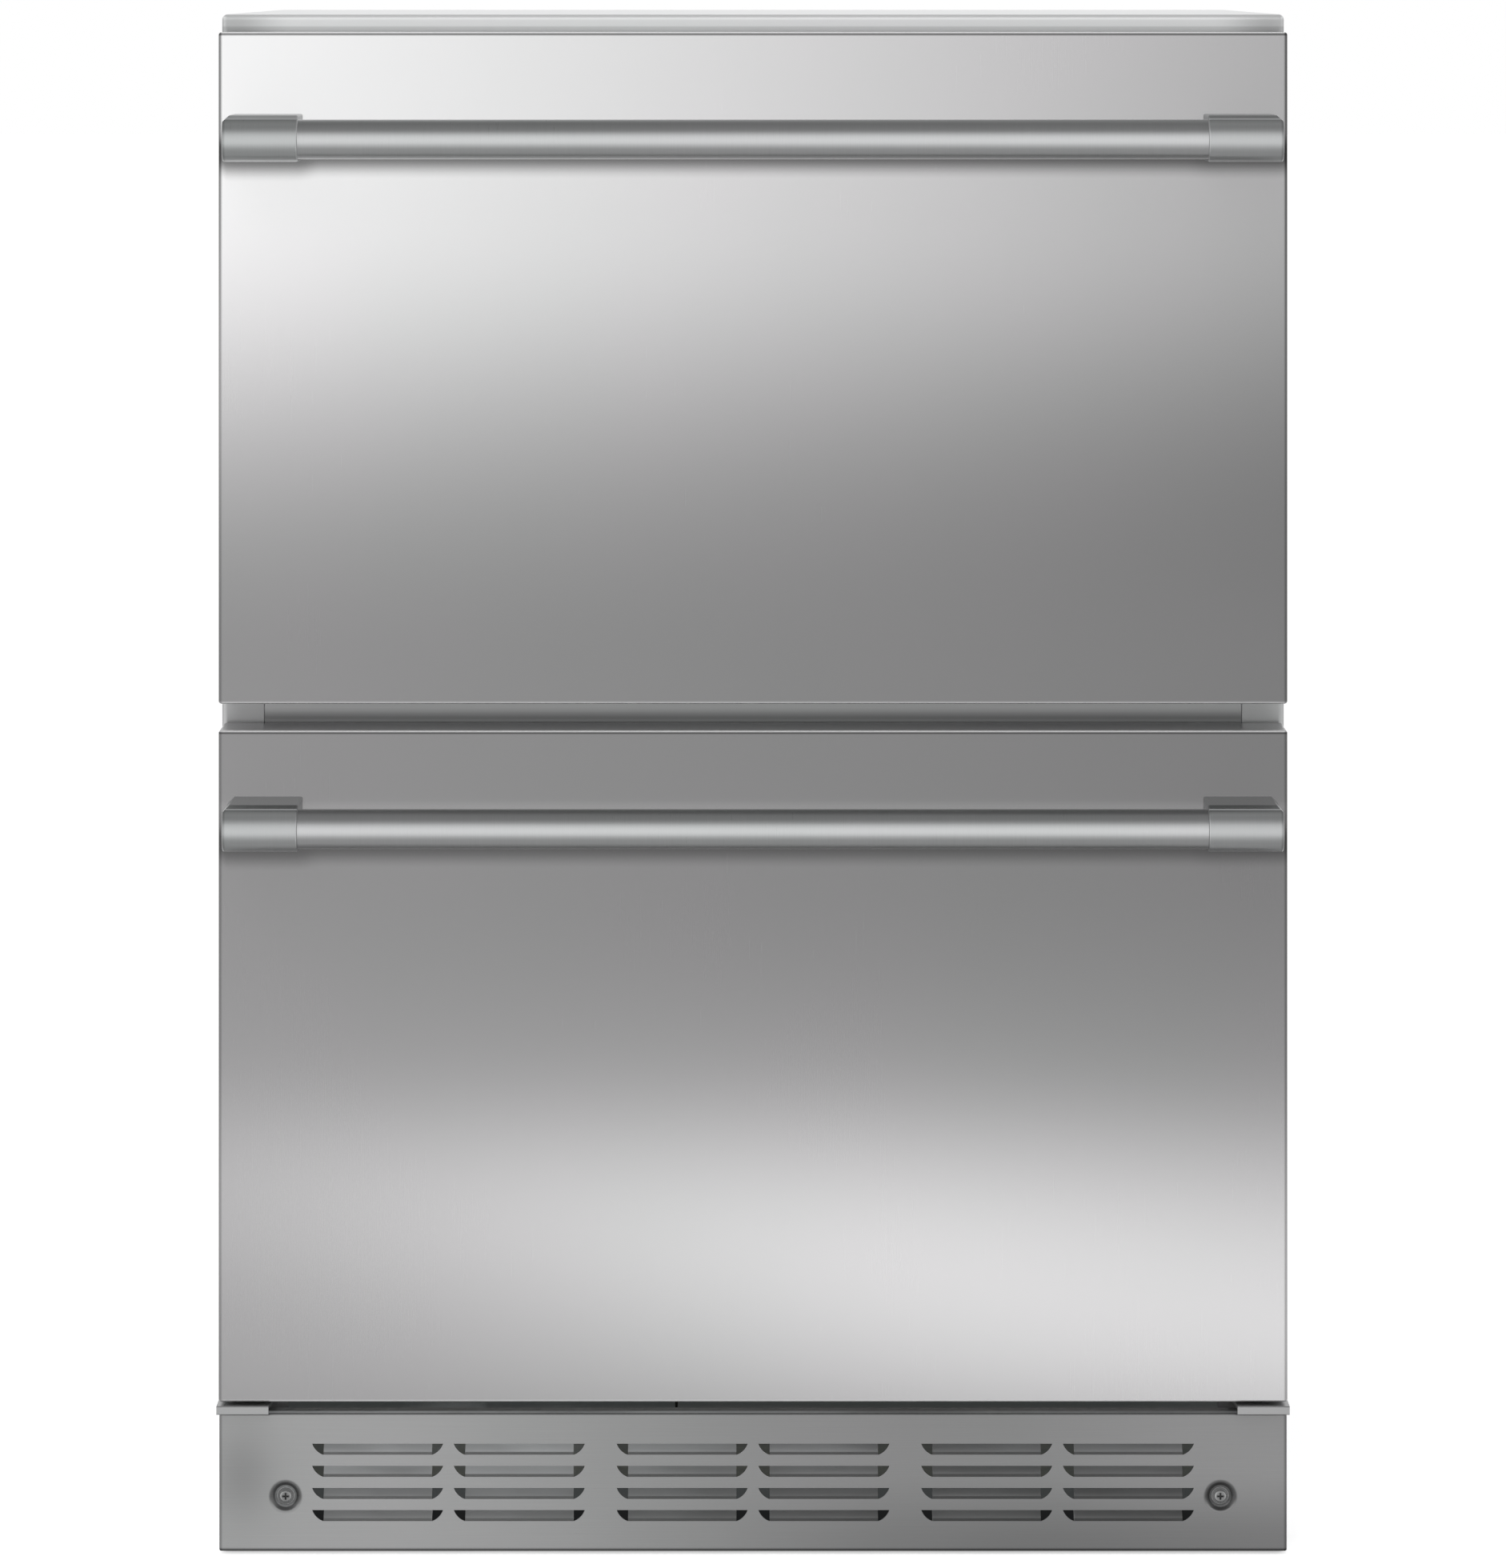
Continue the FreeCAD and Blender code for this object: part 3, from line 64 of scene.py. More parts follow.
# ------------------------------------------------------------------ node helpers
class Tree:
    """Short hand for building node trees."""

    def __init__(self, tree):
        self.t = tree
        tree.nodes.clear()

    def node(self, kind, **props):
        n = self.t.nodes.new(kind)
        for k, v in props.items():
            setattr(n, k, v)
        return n

    def put(self, socket, value):
        if isinstance(value, bpy.types.NodeSocket):
            self.t.links.new(value, socket)
        elif value is not None:
            if hasattr(socket.default_value, "__len__") and not hasattr(value, "__len__"):
                value = [value] * len(socket.default_value)
            socket.default_value = value

    def math(self, op, a, b=None, c=None, clamp=False):
        n = self.node("ShaderNodeMath", operation=op, use_clamp=clamp)
        for i, v in enumerate((a, b, c)):
            self.put(n.inputs[i], v) if v is not None else None
        return n.outputs[0]

    def add(self, a, b):
        return self.math("ADD", a, b)

    def mul(self, a, b):
        return self.math("MULTIPLY", a, b)

    def lerp(self, f, a, b):
        n = self.node("ShaderNodeMix", data_type="FLOAT")
        self.put(n.inputs[0], f)
        self.put(n.inputs[2], a)
        self.put(n.inputs[3], b)
        return n.outputs[0]

    def blend(self, f, a, b, mode="MIX"):
        n = self.node("ShaderNodeMix", data_type="RGBA", blend_type=mode)
        self.put(n.inputs[0], f)
        self.put(n.inputs[6], a if isinstance(a, bpy.types.NodeSocket) else tuple(a) + (1.0,) * (4 - len(a)))
        self.put(n.inputs[7], b if isinstance(b, bpy.types.NodeSocket) else tuple(b) + (1.0,) * (4 - len(b)))
        return n.outputs[2]

    def smooth(self, x, a, b, lo_=0.0, hi_=1.0):
        n = self.node("ShaderNodeMapRange", interpolation_type="SMOOTHSTEP")
        for i, v in enumerate((x, a, b, lo_, hi_)):
            self.put(n.inputs[i], v)
        return n.outputs[0]

    def line(self, x, a, b, lo_=0.0, hi_=1.0):
        n = self.node("ShaderNodeMapRange", interpolation_type="LINEAR")
        for i, v in enumerate((x, a, b, lo_, hi_)):
            self.put(n.inputs[i], v)
        return n.outputs[0]

    def bell(self, x, centre, width):
        """A soft hump of height 1 at centre that has mostly gone at width away."""
        d = self.math("DIVIDE", self.math("SUBTRACT", x, centre), width)
        return self.math("EXPONENT", self.mul(self.mul(d, d), -1.0))

    def xyz(self, vector):
        n = self.node("ShaderNodeSeparateXYZ")
        self.put(n.inputs[0], vector)
        return n.outputs

    def coords(self):
        return self.node("ShaderNodeTexCoord").outputs["Object"]

    def stretch(self, vector, sx, sy, sz):
        n = self.node("ShaderNodeMapping")
        self.put(n.inputs[0], vector)
        n.inputs["Scale"].default_value = (sx, sy, sz)
        return n.outputs[0]

    def noise(self, vector, scale=1.0, detail=4.0, rough=0.55, kind="Fac"):
        n = self.node("ShaderNodeTexNoise")
        self.put(n.inputs["Vector"], vector)
        n.inputs["Scale"].default_value = scale
        n.inputs["Detail"].default_value = detail
        n.inputs["Roughness"].default_value = rough
        return n.outputs[kind]

    def voronoi(self, vector, scale, feature="F1", out="Distance"):
        n = self.node("ShaderNodeTexVoronoi", feature=feature)
        self.put(n.inputs["Vector"], vector)
        n.inputs["Scale"].default_value = scale
        return n.outputs[out]

    def grey(self, value, tint=(1.0, 1.0, 1.0)):
        n = self.node("ShaderNodeCombineColor")
        for i in range(3):
            self.put(n.inputs[i], self.mul(value, tint[i]))
        return n.outputs[0]

    def bump(self, height, distance, strength=1.0, normal=None):
        n = self.node("ShaderNodeBump")
        n.inputs["Strength"].default_value = strength
        n.inputs["Distance"].default_value = distance
        self.put(n.inputs["Height"], height)
        if normal is not None:
            self.put(n.inputs["Normal"], normal)
        return n.outputs[0]

    def shader(self, **values):
        n = self.node("ShaderNodeBsdfPrincipled")
        for k, v in values.items():
            if v is None:
                continue
            s = n.inputs[k.replace("_", " ")]
            if isinstance(v, tuple) and len(v) == 3 and len(s.default_value) == 4:
                v = v + (1.0,)
            self.put(s, v)
        out = self.node("ShaderNodeOutputMaterial")
        self.t.links.new(n.outputs[0], out.inputs[0])
        return n


def material(name):
    m = bpy.data.materials.new(name)
    m.use_nodes = True
    return m, Tree(m.node_tree)


def fixed_vector(t, x, y, z):
    n = t.node("ShaderNodeCombineXYZ")
    for i, v in enumerate((x, y, z)):
        n.inputs[i].default_value = v
    return n.outputs[0]


GRAIN = {"Z": (2600, 2600, 14), "X": (14, 1800, 1800), "Y": (1800, 14, 1800), "ring": (2400, 60, 60)}


def steel(name, level, grain="Z", rough=0.27, depth=0.35, tint=(0.985, 1.0, 0.995), metallic=0.86, aniso=0.75, across=None, waves=0.05, glow=None):
    """Brushed stainless: grain runs along one axis, with fine scratches, soft roughness patches and a hint of colour drift.
    level(tree, x, y, z) gives the reflectance at a point."""
    m, t = material(name)
    co = t.coords()
    x, y, z = t.xyz(co)
    base = level(t, x, y, z) if callable(level) else level
    fine = t.noise(t.stretch(co, *GRAIN[grain]), 1.0, 4.0, 0.7)
    cloud = t.noise(co, 5.5, 2.0, 0.5)
    streak = t.mul(t.math("SUBTRACT", fine, 0.5), 0.19 * depth)
    factor = t.add(1.0, t.add(streak, t.mul(t.math("SUBTRACT", cloud, 0.5), waves)))
    value = t.mul(base, factor)
    colour = t.blend(t.line(cloud, 0.38, 0.62), t.grey(value, tint), t.grey(value, (tint[0] * 1.012, tint[1], tint[2] * 1.008)))
    r = t.add(rough, t.add(t.mul(t.math("SUBTRACT", fine, 0.5), 0.05 + 0.08 * (depth - 0.2)), t.mul(t.math("SUBTRACT", cloud, 0.5), 0.05)))
    tangent = fixed_vector(t, *(across or {"Z": (1, 0, 0), "X": (0, 0, 1), "Y": (0, 0, 1), "ring": (1, 0, 0)}[grain]))
    t.shader(Base_Color=colour, Metallic=metallic, Roughness=r, Anisotropic=aniso, Tangent=tangent,
             Normal=t.bump(fine, 0.00001, 0.2 * depth + 0.05), **(glow(t, x, y, z) if glow else {}))
    return m


# ------------------------------------------------------------------ steel reflectance, as soft bands of light
def handle_axis(which):
    a, b = lo(which + "_handle_bar"), hi(which + "_handle_bar")
    return (a.z + b.z) / 2


HANDLES = {w: handle_axis(w) for w in ("upper", "lower")}


def facing(t, axis):
    """How far the surface faces along one axis of the scene."""
    n = t.xyz(t.node("ShaderNodeNewGeometry").outputs["Normal"])
    return n[axis]


def drawer_level(t, x, y, z):
    """A broad glow over the upper left that fades down the upper drawer, a soft band low on the right of the lower one,
    a soft shadow under each handle and a glint along the turned edges."""
    side = t.line(x, -0.30, 0.30)
    base = t.lerp(side, 0.284, 0.204)
    fade = t.smooth(t.add(z, t.mul(x, 0.0026)), 0.498, 0.776)
    glow = t.mul(t.mul(fade, fade), t.lerp(side, 0.317, 0.324))
    glow = t.add(glow, t.mul(fade, t.lerp(side, 0.332, -0.095)))
    centre = t.add(0.1726, t.mul(x, -0.1074))
    up = t.math("GREATER_THAN", z, centre)
    width = t.lerp(up, t.lerp(side, 0.090, 0.092), t.lerp(side, 0.072, 0.1075))
    amp = t.lerp(t.smooth(side, -0.283, 0.764), 0.122, 0.509)
    band = t.mul(t.bell(z, centre, width), amp)
    lift = t.add(t.mul(t.bell(z, 0.34, 0.10), 0.0166), t.mul(t.smooth(z, 0.160, 0.090), 0.034))
    lift = t.add(lift, t.mul(t.bell(z, 0.268, 0.035), -0.018))
    level = t.add(t.add(base, glow), t.add(band, lift))
    # painted light: a thin lift just above the lower handle
    level = t.add(level, t.mul(t.bell(z, HANDLES["lower"] + 0.0072, 0.0030), 0.045))
    # painted shadow under each handle, reaching further down below the posts
    for which, drop in (("upper", 0.0), ("lower", 0.0044)):
        hz = HANDLES[which] - drop
        post = t.mul(t.smooth(t.math("ABSOLUTE", x), 0.2430, 0.2570), t.smooth(t.math("ABSOLUTE", x), 0.3010, 0.2960))
        reach = t.add(0.0005 if which == "upper" else 0.0, t.mul(post, t.lerp(side, 0.0019, 0.0006)))
        drop_z = t.add(z, reach)
        under = t.mul(t.smooth(drop_z, hz - 0.0232, hz - 0.0110), t.smooth(z, hz + 0.004, hz - 0.006))
        level = t.mul(level, t.add(1.0, t.mul(under, -0.78 if which == "upper" else -0.58)))
    # measured from the skin's own front, so it holds with the drawer open as well
    front = t.math("LESS_THAN", y, lo("upper_drawer_front").y + 0.0022)
    for which, turn, gain in (("upper", 0.0001, 1.30), ("lower", 0.0004, 1.45)):
        top, bottom = hi(which + "_drawer_front").z, lo(which + "_drawer_front").z
        # painted shade in a dark line just inside the top edge, then a painted highlight where the sheet turns over,
        # and another painted highlight along the bottom edge
        level = t.mul(level, t.add(1.0, t.mul(t.mul(t.bell(z, top - turn - 0.0011, 0.00060), front), -0.78)))
        level = t.add(level, t.mul(t.mul(t.bell(z, top - turn, 0.00055), front), gain))
        level = t.add(level, t.mul(t.bell(z, bottom + 0.0005, 0.0006), 0.75))
    # painted shade along the side edges, deepest on the upper drawer
    across = t.math("ABSOLUTE", x)
    rim = t.smooth(across, hi("upper_drawer_front").x - 0.0024, hi("upper_drawer_front").x - 0.0008)
    level = t.mul(level, t.add(1.0, t.mul(t.mul(rim, t.lerp(t.smooth(z, 0.60, 0.80), 0.45, 0.78)), -1.0)))
    # the lower drawer's return along its top faces the dark gap under the drawer above
    lid = t.mul(t.smooth(facing(t, 2), 0.80, 0.97), t.math("LESS_THAN", z, 0.6))
    level = t.mul(level, t.add(1.0, t.mul(lid, -0.27)))
    flank = t.smooth(t.math("ABSOLUTE", facing(t, 0)), 0.80, 0.95)
    return t.lerp(flank, level, 0.40)


def off_axis(t, z):
    up = t.math("GREATER_THAN", z, 0.6)
    return t.math("SUBTRACT", z, t.lerp(up, HANDLES["lower"], HANDLES["upper"]))


def post_level(t, x, y, z):
    """Each handle post keeps the bar's painted bright line and darkens steadily in painted shade up to its flat crown;
    painted shade also darkens its inner and outer ends.
    """
    d = off_axis(t, z)
    crown = t.smooth(d, 0.0085, 0.0126)
    base = t.add(0.465, t.mul(t.bell(d, -0.0005, 0.0042), 0.085))
    base = t.add(base, t.mul(t.bell(d, -0.0100, 0.0025), 0.05))
    inner = t.smooth(t.math("ABSOLUTE", x), lo("upper_handle_posts").x * -1 - 0.0414, lo("upper_handle_posts").x * -1 - 0.0422)
    outer = t.smooth(t.math("ABSOLUTE", x), hi("upper_handle_posts").x - 0.0022, hi("upper_handle_posts").x - 0.0006)
    base = t.mul(base, t.add(1.0, t.add(t.mul(inner, -0.45), t.mul(outer, -0.35))))
    base = t.mul(base, t.lerp(crown, 1.0, 0.50))
    # the crown's flat top lies in the panel's shade
    flat = t.mul(t.smooth(facing(t, 2), 0.88, 0.97), t.math("GREATER_THAN", d, 0.0))
    return t.mul(base, t.lerp(flat, 1.0, t.lerp(t.math("GREATER_THAN", z, 0.6), 0.86, 0.80)))


def post_glow(t, x, y, z):
    """Painted bounce light: a faint emission on the crown stands in for light bounced off the panel behind and keeps
    the crown from going black.
    """
    crown = t.smooth(off_axis(t, z), 0.0070, 0.0100)
    return {"Emission_Color": (0.96, 1.0, 0.99, 1.0), "Emission_Strength": t.mul(crown, 0.024)}


def bar_level(t, x, y, z):
    """The round bar holds a painted reflection: a bright line at its middle, darkening above and below, and a fainter
    bright line low down.
    """
    d = off_axis(t, z)
    return t.add(t.add(0.385, t.mul(t.bell(d, -0.0003, 0.0046), 0.245)), t.mul(t.bell(d, -0.0085, 0.0035), 0.11))


KICK = lo("toe_kick_grille").y
SCREW_X, SCREW_Z = (lo("grille_screws").x * -1 + hi("grille_screws").x) / 2 - 0.0047, (lo("grille_screws").z + hi("grille_screws").z) / 2


def from_screw(t, x, z):
    dx = t.math("SUBTRACT", t.math("ABSOLUTE", x), SCREW_X)
    dz = t.math("SUBTRACT", z, SCREW_Z)
    return t.math("SQRT", t.add(t.mul(dx, dx), t.mul(dz, dz))), dx, dz


def kick_level(t, x, y, z):
    """Toe kick in painted light and shade: a painted reflection greyer to the right and at the bottom right, painted
    shade on the rims, the bottom edge, the folded top and the dimples round the screws, a painted highlight on each
    dimple's lower lip, and flaps made pale by painted light.
    """
    side = t.line(x, -0.30, 0.30)
    a = t.lerp(t.smooth(side, 0.10, 0.66), 0.375, 0.262)
    b = t.mul(t.smooth(side, 0.72, 1.0), 0.030)
    c = t.mul(t.mul(t.bell(x, -0.288, 0.018), t.bell(z, 0.045, 0.025)), -0.09)
    level = t.add(t.add(a, b), c)
    low = t.mul(t.smooth(side, 0.30, 0.85), t.smooth(z, 0.050, 0.004))
    level = t.mul(level, t.add(1.0, t.mul(low, -0.32)))
    level = t.mul(level, t.add(1.0, t.mul(t.smooth(z, 0.0044, 0.0024), -0.82)))
    rim = t.smooth(t.math("ABSOLUTE", x), hi("toe_kick_grille").x - 0.0022, hi("toe_kick_grille").x - 0.0006)
    level = t.mul(level, t.add(1.0, t.mul(rim, -0.45)))
    level = t.mul(level, t.add(1.0, t.mul(t.mul(t.smooth(facing(t, 2), 0.75, 0.97), t.smooth(z, 0.070, 0.074)), -0.58)))
    r, dx, dz = from_screw(t, x, z)
    # painted shade in the dimple round each screw, with a painted highlight on its lower lip
    ring = t.smooth(r, 0.0100, 0.0084)
    lip = t.mul(t.bell(r, 0.0086, 0.0007), t.mul(t.smooth(dz, 0.0, -0.006), 0.16))
    level = t.add(t.mul(level, t.add(1.0, t.mul(ring, -0.66))), lip)
    # painted light makes the flaps pale
    flap = t.smooth(y, KICK + 0.0014, KICK + 0.0022)
    cloudy = t.noise(t.stretch(t.coords(), 16, 3, 45), 1.0, 2.0, 0.5)
    glow_ = t.mul(t.lerp(t.smooth(side, 0.20, 0.75), 0.50, 0.40), t.add(0.72, t.mul(cloudy, 0.56)))
    return t.lerp(flap, level, glow_)


def kick_glow(t, x, y, z):
    """Painted bounce light: an emission on the flaps stands in for light that comes in between the louvres and off the
    floor, most of all on the top rows at the left.
    """
    side = t.line(x, -0.30, 0.30)
    flap = t.smooth(y, KICK + 0.0014, KICK + 0.0022)
    deep = t.smooth(y, KICK + 0.0095, KICK + 0.0085)
    cloudy = t.smooth(t.noise(t.stretch(t.coords(), 13, 3, 60), 1.0, 2.0, 0.5), 0.30, 0.68)
    rows = t.lerp(t.smooth(z, 0.026, 0.056), 0.34, 1.0)
    bright = t.lerp(t.smooth(side, 0.10, 0.70), 0.150, 0.062)
    value = t.mul(t.mul(t.mul(flap, deep), t.mul(bright, rows)), t.add(0.62, t.mul(cloudy, 0.6)))
    return {"Emission_Color": (0.96, 0.985, 1.0, 1.0), "Emission_Strength": value}


def screw_level(t, x, y, z):
    """A screw head: a painted highlight ring near its edge, painted shade in the cross recess, and a dark washer round
    it.
    """
    r, dx, dz = from_screw(t, x, z)
    near = t.smooth(r, 0.0075, 0.0070)
    ax, az = t.math("ABSOLUTE", dx), t.math("ABSOLUTE", dz)
    arm = t.add(t.mul(t.smooth(ax, 0.00062, 0.00042), t.smooth(r, 0.0023, 0.0018)), t.mul(t.smooth(az, 0.00062, 0.00042), t.smooth(r, 0.0023, 0.0018)))
    arm = t.math("MINIMUM", arm, 1.0)
    head = t.mul(t.add(0.20, t.mul(t.bell(r, 0.0030, 0.0007), 0.16)), t.add(1.0, t.mul(arm, -0.80)))
    washer = t.smooth(r, 0.0036, 0.0039)
    return t.lerp(near, 0.50, t.lerp(washer, head, 0.13))


CAB_TOP, CAB_FRONT = hi("cabinet_shell").z, lo("cabinet_shell").y


def flange_level(t, x, y, z):
    """Cabinet: pale satin; along the front the top edge turns over in a painted highlight, a bright roll with a less
    bright painted strip beneath it and painted shade at its two ends; faces turned upwards are lifted by painted light.
    """
    front = t.smooth(y, CAB_FRONT + 0.012, CAB_FRONT + 0.004)
    high = t.smooth(z, CAB_TOP - 0.0160, CAB_TOP - 0.0110)
    strip = t.mul(high, t.add(0.13, t.mul(t.smooth(z, CAB_TOP - 0.0075, CAB_TOP - 0.0064), 0.165)))
    ends = t.mul(t.smooth(t.math("ABSOLUTE", x), 0.262, 0.297), high)
    level = t.mul(t.add(0.46, t.mul(strip, front)), t.add(1.0, t.mul(t.mul(ends, front), -0.34)))
    level = t.add(level, t.mul(t.mul(t.bell(z, CAB_TOP - 0.0004, 0.0017), 0.62), front))
    # painted light: faces turned upwards are made paler
    lid = t.mul(t.smooth(facing(t, 2), 0.80, 0.97), 0.42)
    return t.add(level, lid)


def mullion_level(t, x, y, z):
    """The strip between the drawers darkens in painted shade towards the lower drawer's top edge and lifts again at its
    very foot.
    """
    return t.mul(t.lerp(t.line(x, -0.28, 0.28), 0.50, 0.45), t.mul(t.lerp(t.smooth(z, 0.4680, 0.4748), 0.46, 1.0), t.lerp(t.smooth(z, 0.4684, 0.4668), 1.0, 1.5)))


# ------------------------------------------------------------------ other materials
def speckled(name, colour, rough=0.45, metallic=0.0, scale=900, depth=0.00004, strength=0.5, vary=0.06, dirt=0.0, coat=0.0, spec=0.5, sub=0.0, detail=3.0):
    """Moulded or painted surface with fine texture, slow colour drift and a little dust in soft patches."""
    m, t = material(name)
    co = t.coords()
    tex = t.noise(co, scale, detail, 0.6)
    drift = t.noise(co, 9.0, 3.0, 0.5)
    shade = t.add(1.0, t.mul(t.math("SUBTRACT", drift, 0.5), vary * 2))
    shade = t.mul(shade, t.add(1.0, t.mul(t.math("SUBTRACT", tex, 0.5), vary)))
    n = t.node("ShaderNodeVectorMath", operation="SCALE")
    n.inputs[0].default_value = colour
    t.put(n.inputs["Scale"], shade)
    col = n.outputs[0]
    if dirt:
        patch = t.smooth(t.noise(co, 22.0, 5.0, 0.6), 0.52, 0.72)
        col = t.blend(t.mul(patch, dirt), col, (0.30, 0.29, 0.27))
    r = t.add(rough, t.mul(t.math("SUBTRACT", drift, 0.5), 0.12))
    t.shader(Base_Color=col, Roughness=r, Metallic=metallic, Coat_Weight=coat, Specular_IOR_Level=spec, Subsurface_Weight=sub or None,
             Normal=t.bump(tex, depth, strength))
    return m


def galvanised(name, level=0.52, rough=0.42, glow=0.0, lip=None):
    """Zinc-coated sheet: crystalline spangle, each grain a slightly different grey and gloss. Forward of lip it is
    darkened in painted shade; glow, when given, is a faint emission standing in for bounced light.
    """
    m, t = material(name)
    co = t.coords()
    warp = t.node("ShaderNodeVectorMath", operation="ADD")
    t.put(warp.inputs[0], co)
    swirl = t.node("ShaderNodeVectorMath", operation="SCALE")
    t.put(swirl.inputs[0], t.noise(co, 60.0, 2.0, 0.5, "Color"))
    swirl.inputs["Scale"].default_value = 0.012
    t.put(warp.inputs[1], swirl.outputs[0])
    cell = t.voronoi(warp.outputs[0], 95.0, "F1", "Color")
    grain = t.xyz(cell)[0]
    edge = t.voronoi(warp.outputs[0], 95.0, "DISTANCE_TO_EDGE")
    value = t.mul(level, t.add(0.88, t.mul(grain, 0.22)))
    value = t.mul(value, t.smooth(edge, 0.0, 0.06, 0.94, 1.0))
    if lip is not None:
        value = t.mul(value, t.smooth(t.xyz(co)[1], lip, lip + 0.004, 0.16, 1.0))
    t.shader(Emission_Color=(0.92, 1.0, 1.0, 1.0) if glow else None, Emission_Strength=glow or None,
             Base_Color=t.grey(value, (0.97, 1.0, 1.02)), Metallic=0.85, Roughness=t.add(rough - 0.06, t.mul(grain, 0.14)),
             Normal=t.bump(t.noise(co, 700.0, 3.0, 0.6), 0.00002, 0.3))
    return m


def zinc(name, level=0.62):
    m, t = material(name)
    co = t.coords()
    rolled = t.noise(t.stretch(co, 1400, 10, 1400), 1.0, 4.0, 0.6)
    cloud = t.noise(co, 30.0, 4.0, 0.6)
    value = t.mul(level, t.add(0.94, t.add(t.mul(rolled, 0.08), t.mul(cloud, 0.06))))
    tint = t.blend(t.smooth(cloud, 0.35, 0.65), t.grey(value, (0.98, 1.0, 1.03)), t.grey(value, (1.03, 1.0, 0.95)))
    t.shader(Base_Color=tint, Metallic=1.0, Roughness=t.add(0.24, t.mul(cloud, 0.12)), Normal=t.bump(rolled, 0.00002, 0.25))
    return m


def foam(name):
    """Cut rigid foam: closed cells, a skin that has yellowed unevenly."""
    m, t = material(name)
    co = t.coords()
    cells = t.voronoi(co, 650.0)
    lumps = t.noise(co, 40.0, 4.0, 0.6)
    col = t.blend(t.smooth(lumps, 0.3, 0.7), (0.80, 0.68, 0.40), (0.90, 0.82, 0.58))
    col = t.blend(t.smooth(cells, 0.0, 0.5, 0.0, 0.35), col, (0.62, 0.50, 0.26))
    height = t.add(t.mul(cells, 0.5), lumps)
    t.shader(Base_Color=col, Roughness=0.9, Normal=t.bump(height, 0.0006, 0.8))
    return m


def rubber(name, colour=(0.03, 0.03, 0.032), rough=0.62, bloom=0.10):
    """Extruded rubber: fine draw lines, matte, with a pale bloom in patches."""
    m, t = material(name)
    co = t.coords()
    tex = t.noise(co, 1600.0, 3.0, 0.6)
    patch = t.noise(co, 45.0, 4.0, 0.6)
    base = tuple(c for c in colour)
    pale = tuple(min(1.0, c * 1.12 + 0.03) for c in colour)
    col = t.blend(t.mul(t.smooth(patch, 0.45, 0.75), bloom * 4), base, pale)
    t.shader(Base_Color=col, Roughness=t.add(rough, t.mul(t.math("SUBTRACT", patch, 0.5), 0.15)), Specular_IOR_Level=0.35,
             Normal=t.bump(tex, 0.00005, 0.4))
    return m


def copper(name):
    m, t = material(name)
    co = t.coords()
    old = t.smooth(t.noise(co, 34.0, 5.0, 0.62), 0.42, 0.68)
    fine = t.noise(co, 900.0, 3.0, 0.6)
    col = t.blend(old, (0.82, 0.43, 0.28), (0.36, 0.18, 0.12))
    t.shader(Base_Color=col, Metallic=1.0, Roughness=t.add(0.22, t.mul(old, 0.25)), Normal=t.bump(fine, 0.00003, 0.3))
    return m


def clear_plastic(name):
    """Frosted clear moulding for the dividers."""
    m, t = material(name)
    co = t.coords()
    fine = t.noise(co, 1100.0, 2.0, 0.5)
    haze = t.noise(co, 12.0, 3.0, 0.5)
    t.shader(Base_Color=t.blend(haze, (0.80, 0.86, 0.90), (0.88, 0.93, 0.95)), Roughness=t.add(0.16, t.mul(haze, 0.12)), Transmission_Weight=0.72, IOR=1.46,
             Normal=t.bump(fine, 0.00002, 0.25))
    return m


def lens(name):
    """Frosted light cover with a faint ribbed pattern, softly lit from within."""
    m, t = material(name)
    co = t.coords()
    x, y, z = t.xyz(co)
    ribs = t.math("SINE", t.mul(x, 1800.0))
    glow = t.add(0.35, t.mul(t.math("SINE", t.mul(x, 210.0)), 0.08))
    t.shader(Base_Color=t.blend(t.noise(co, 60.0), (0.90, 0.93, 0.96), (0.96, 0.97, 0.98)), Roughness=0.35, Subsurface_Weight=0.3,
             Emission_Color=(0.93, 0.97, 1.0), Emission_Strength=glow, Normal=t.bump(ribs, 0.00015, 0.6))
    return m


def glowing(name, colour, power):
    m, t = material(name)
    co = t.coords()
    n = t.noise(co, 400.0)
    t.shader(Base_Color=t.blend(n, colour, tuple(c * 0.8 for c in colour)), Roughness=0.4, Emission_Color=colour, Emission_Strength=t.add(power, t.mul(n, power * 0.15)))
    return m


def fins(name):
    """Aluminium fin stock with tiny dents and dust caught on the edges."""
    m, t = material(name)
    co = t.coords()
    x, y, z = t.xyz(co)
    wave = t.math("SINE", t.mul(z, 1500.0))
    dent = t.noise(co, 120.0, 4.0, 0.6)
    dust = t.smooth(t.noise(co, 26.0, 5.0, 0.6), 0.5, 0.8)
    col = t.blend(t.mul(dust, 0.35), t.grey(t.add(0.66, t.mul(dent, 0.16)), (0.99, 1.0, 1.01)), (0.33, 0.31, 0.28))
    t.shader(Base_Color=col, Metallic=0.95, Roughness=t.add(0.28, t.mul(dust, 0.3)), Normal=t.bump(t.add(wave, dent), 0.00015, 0.4))
    return m


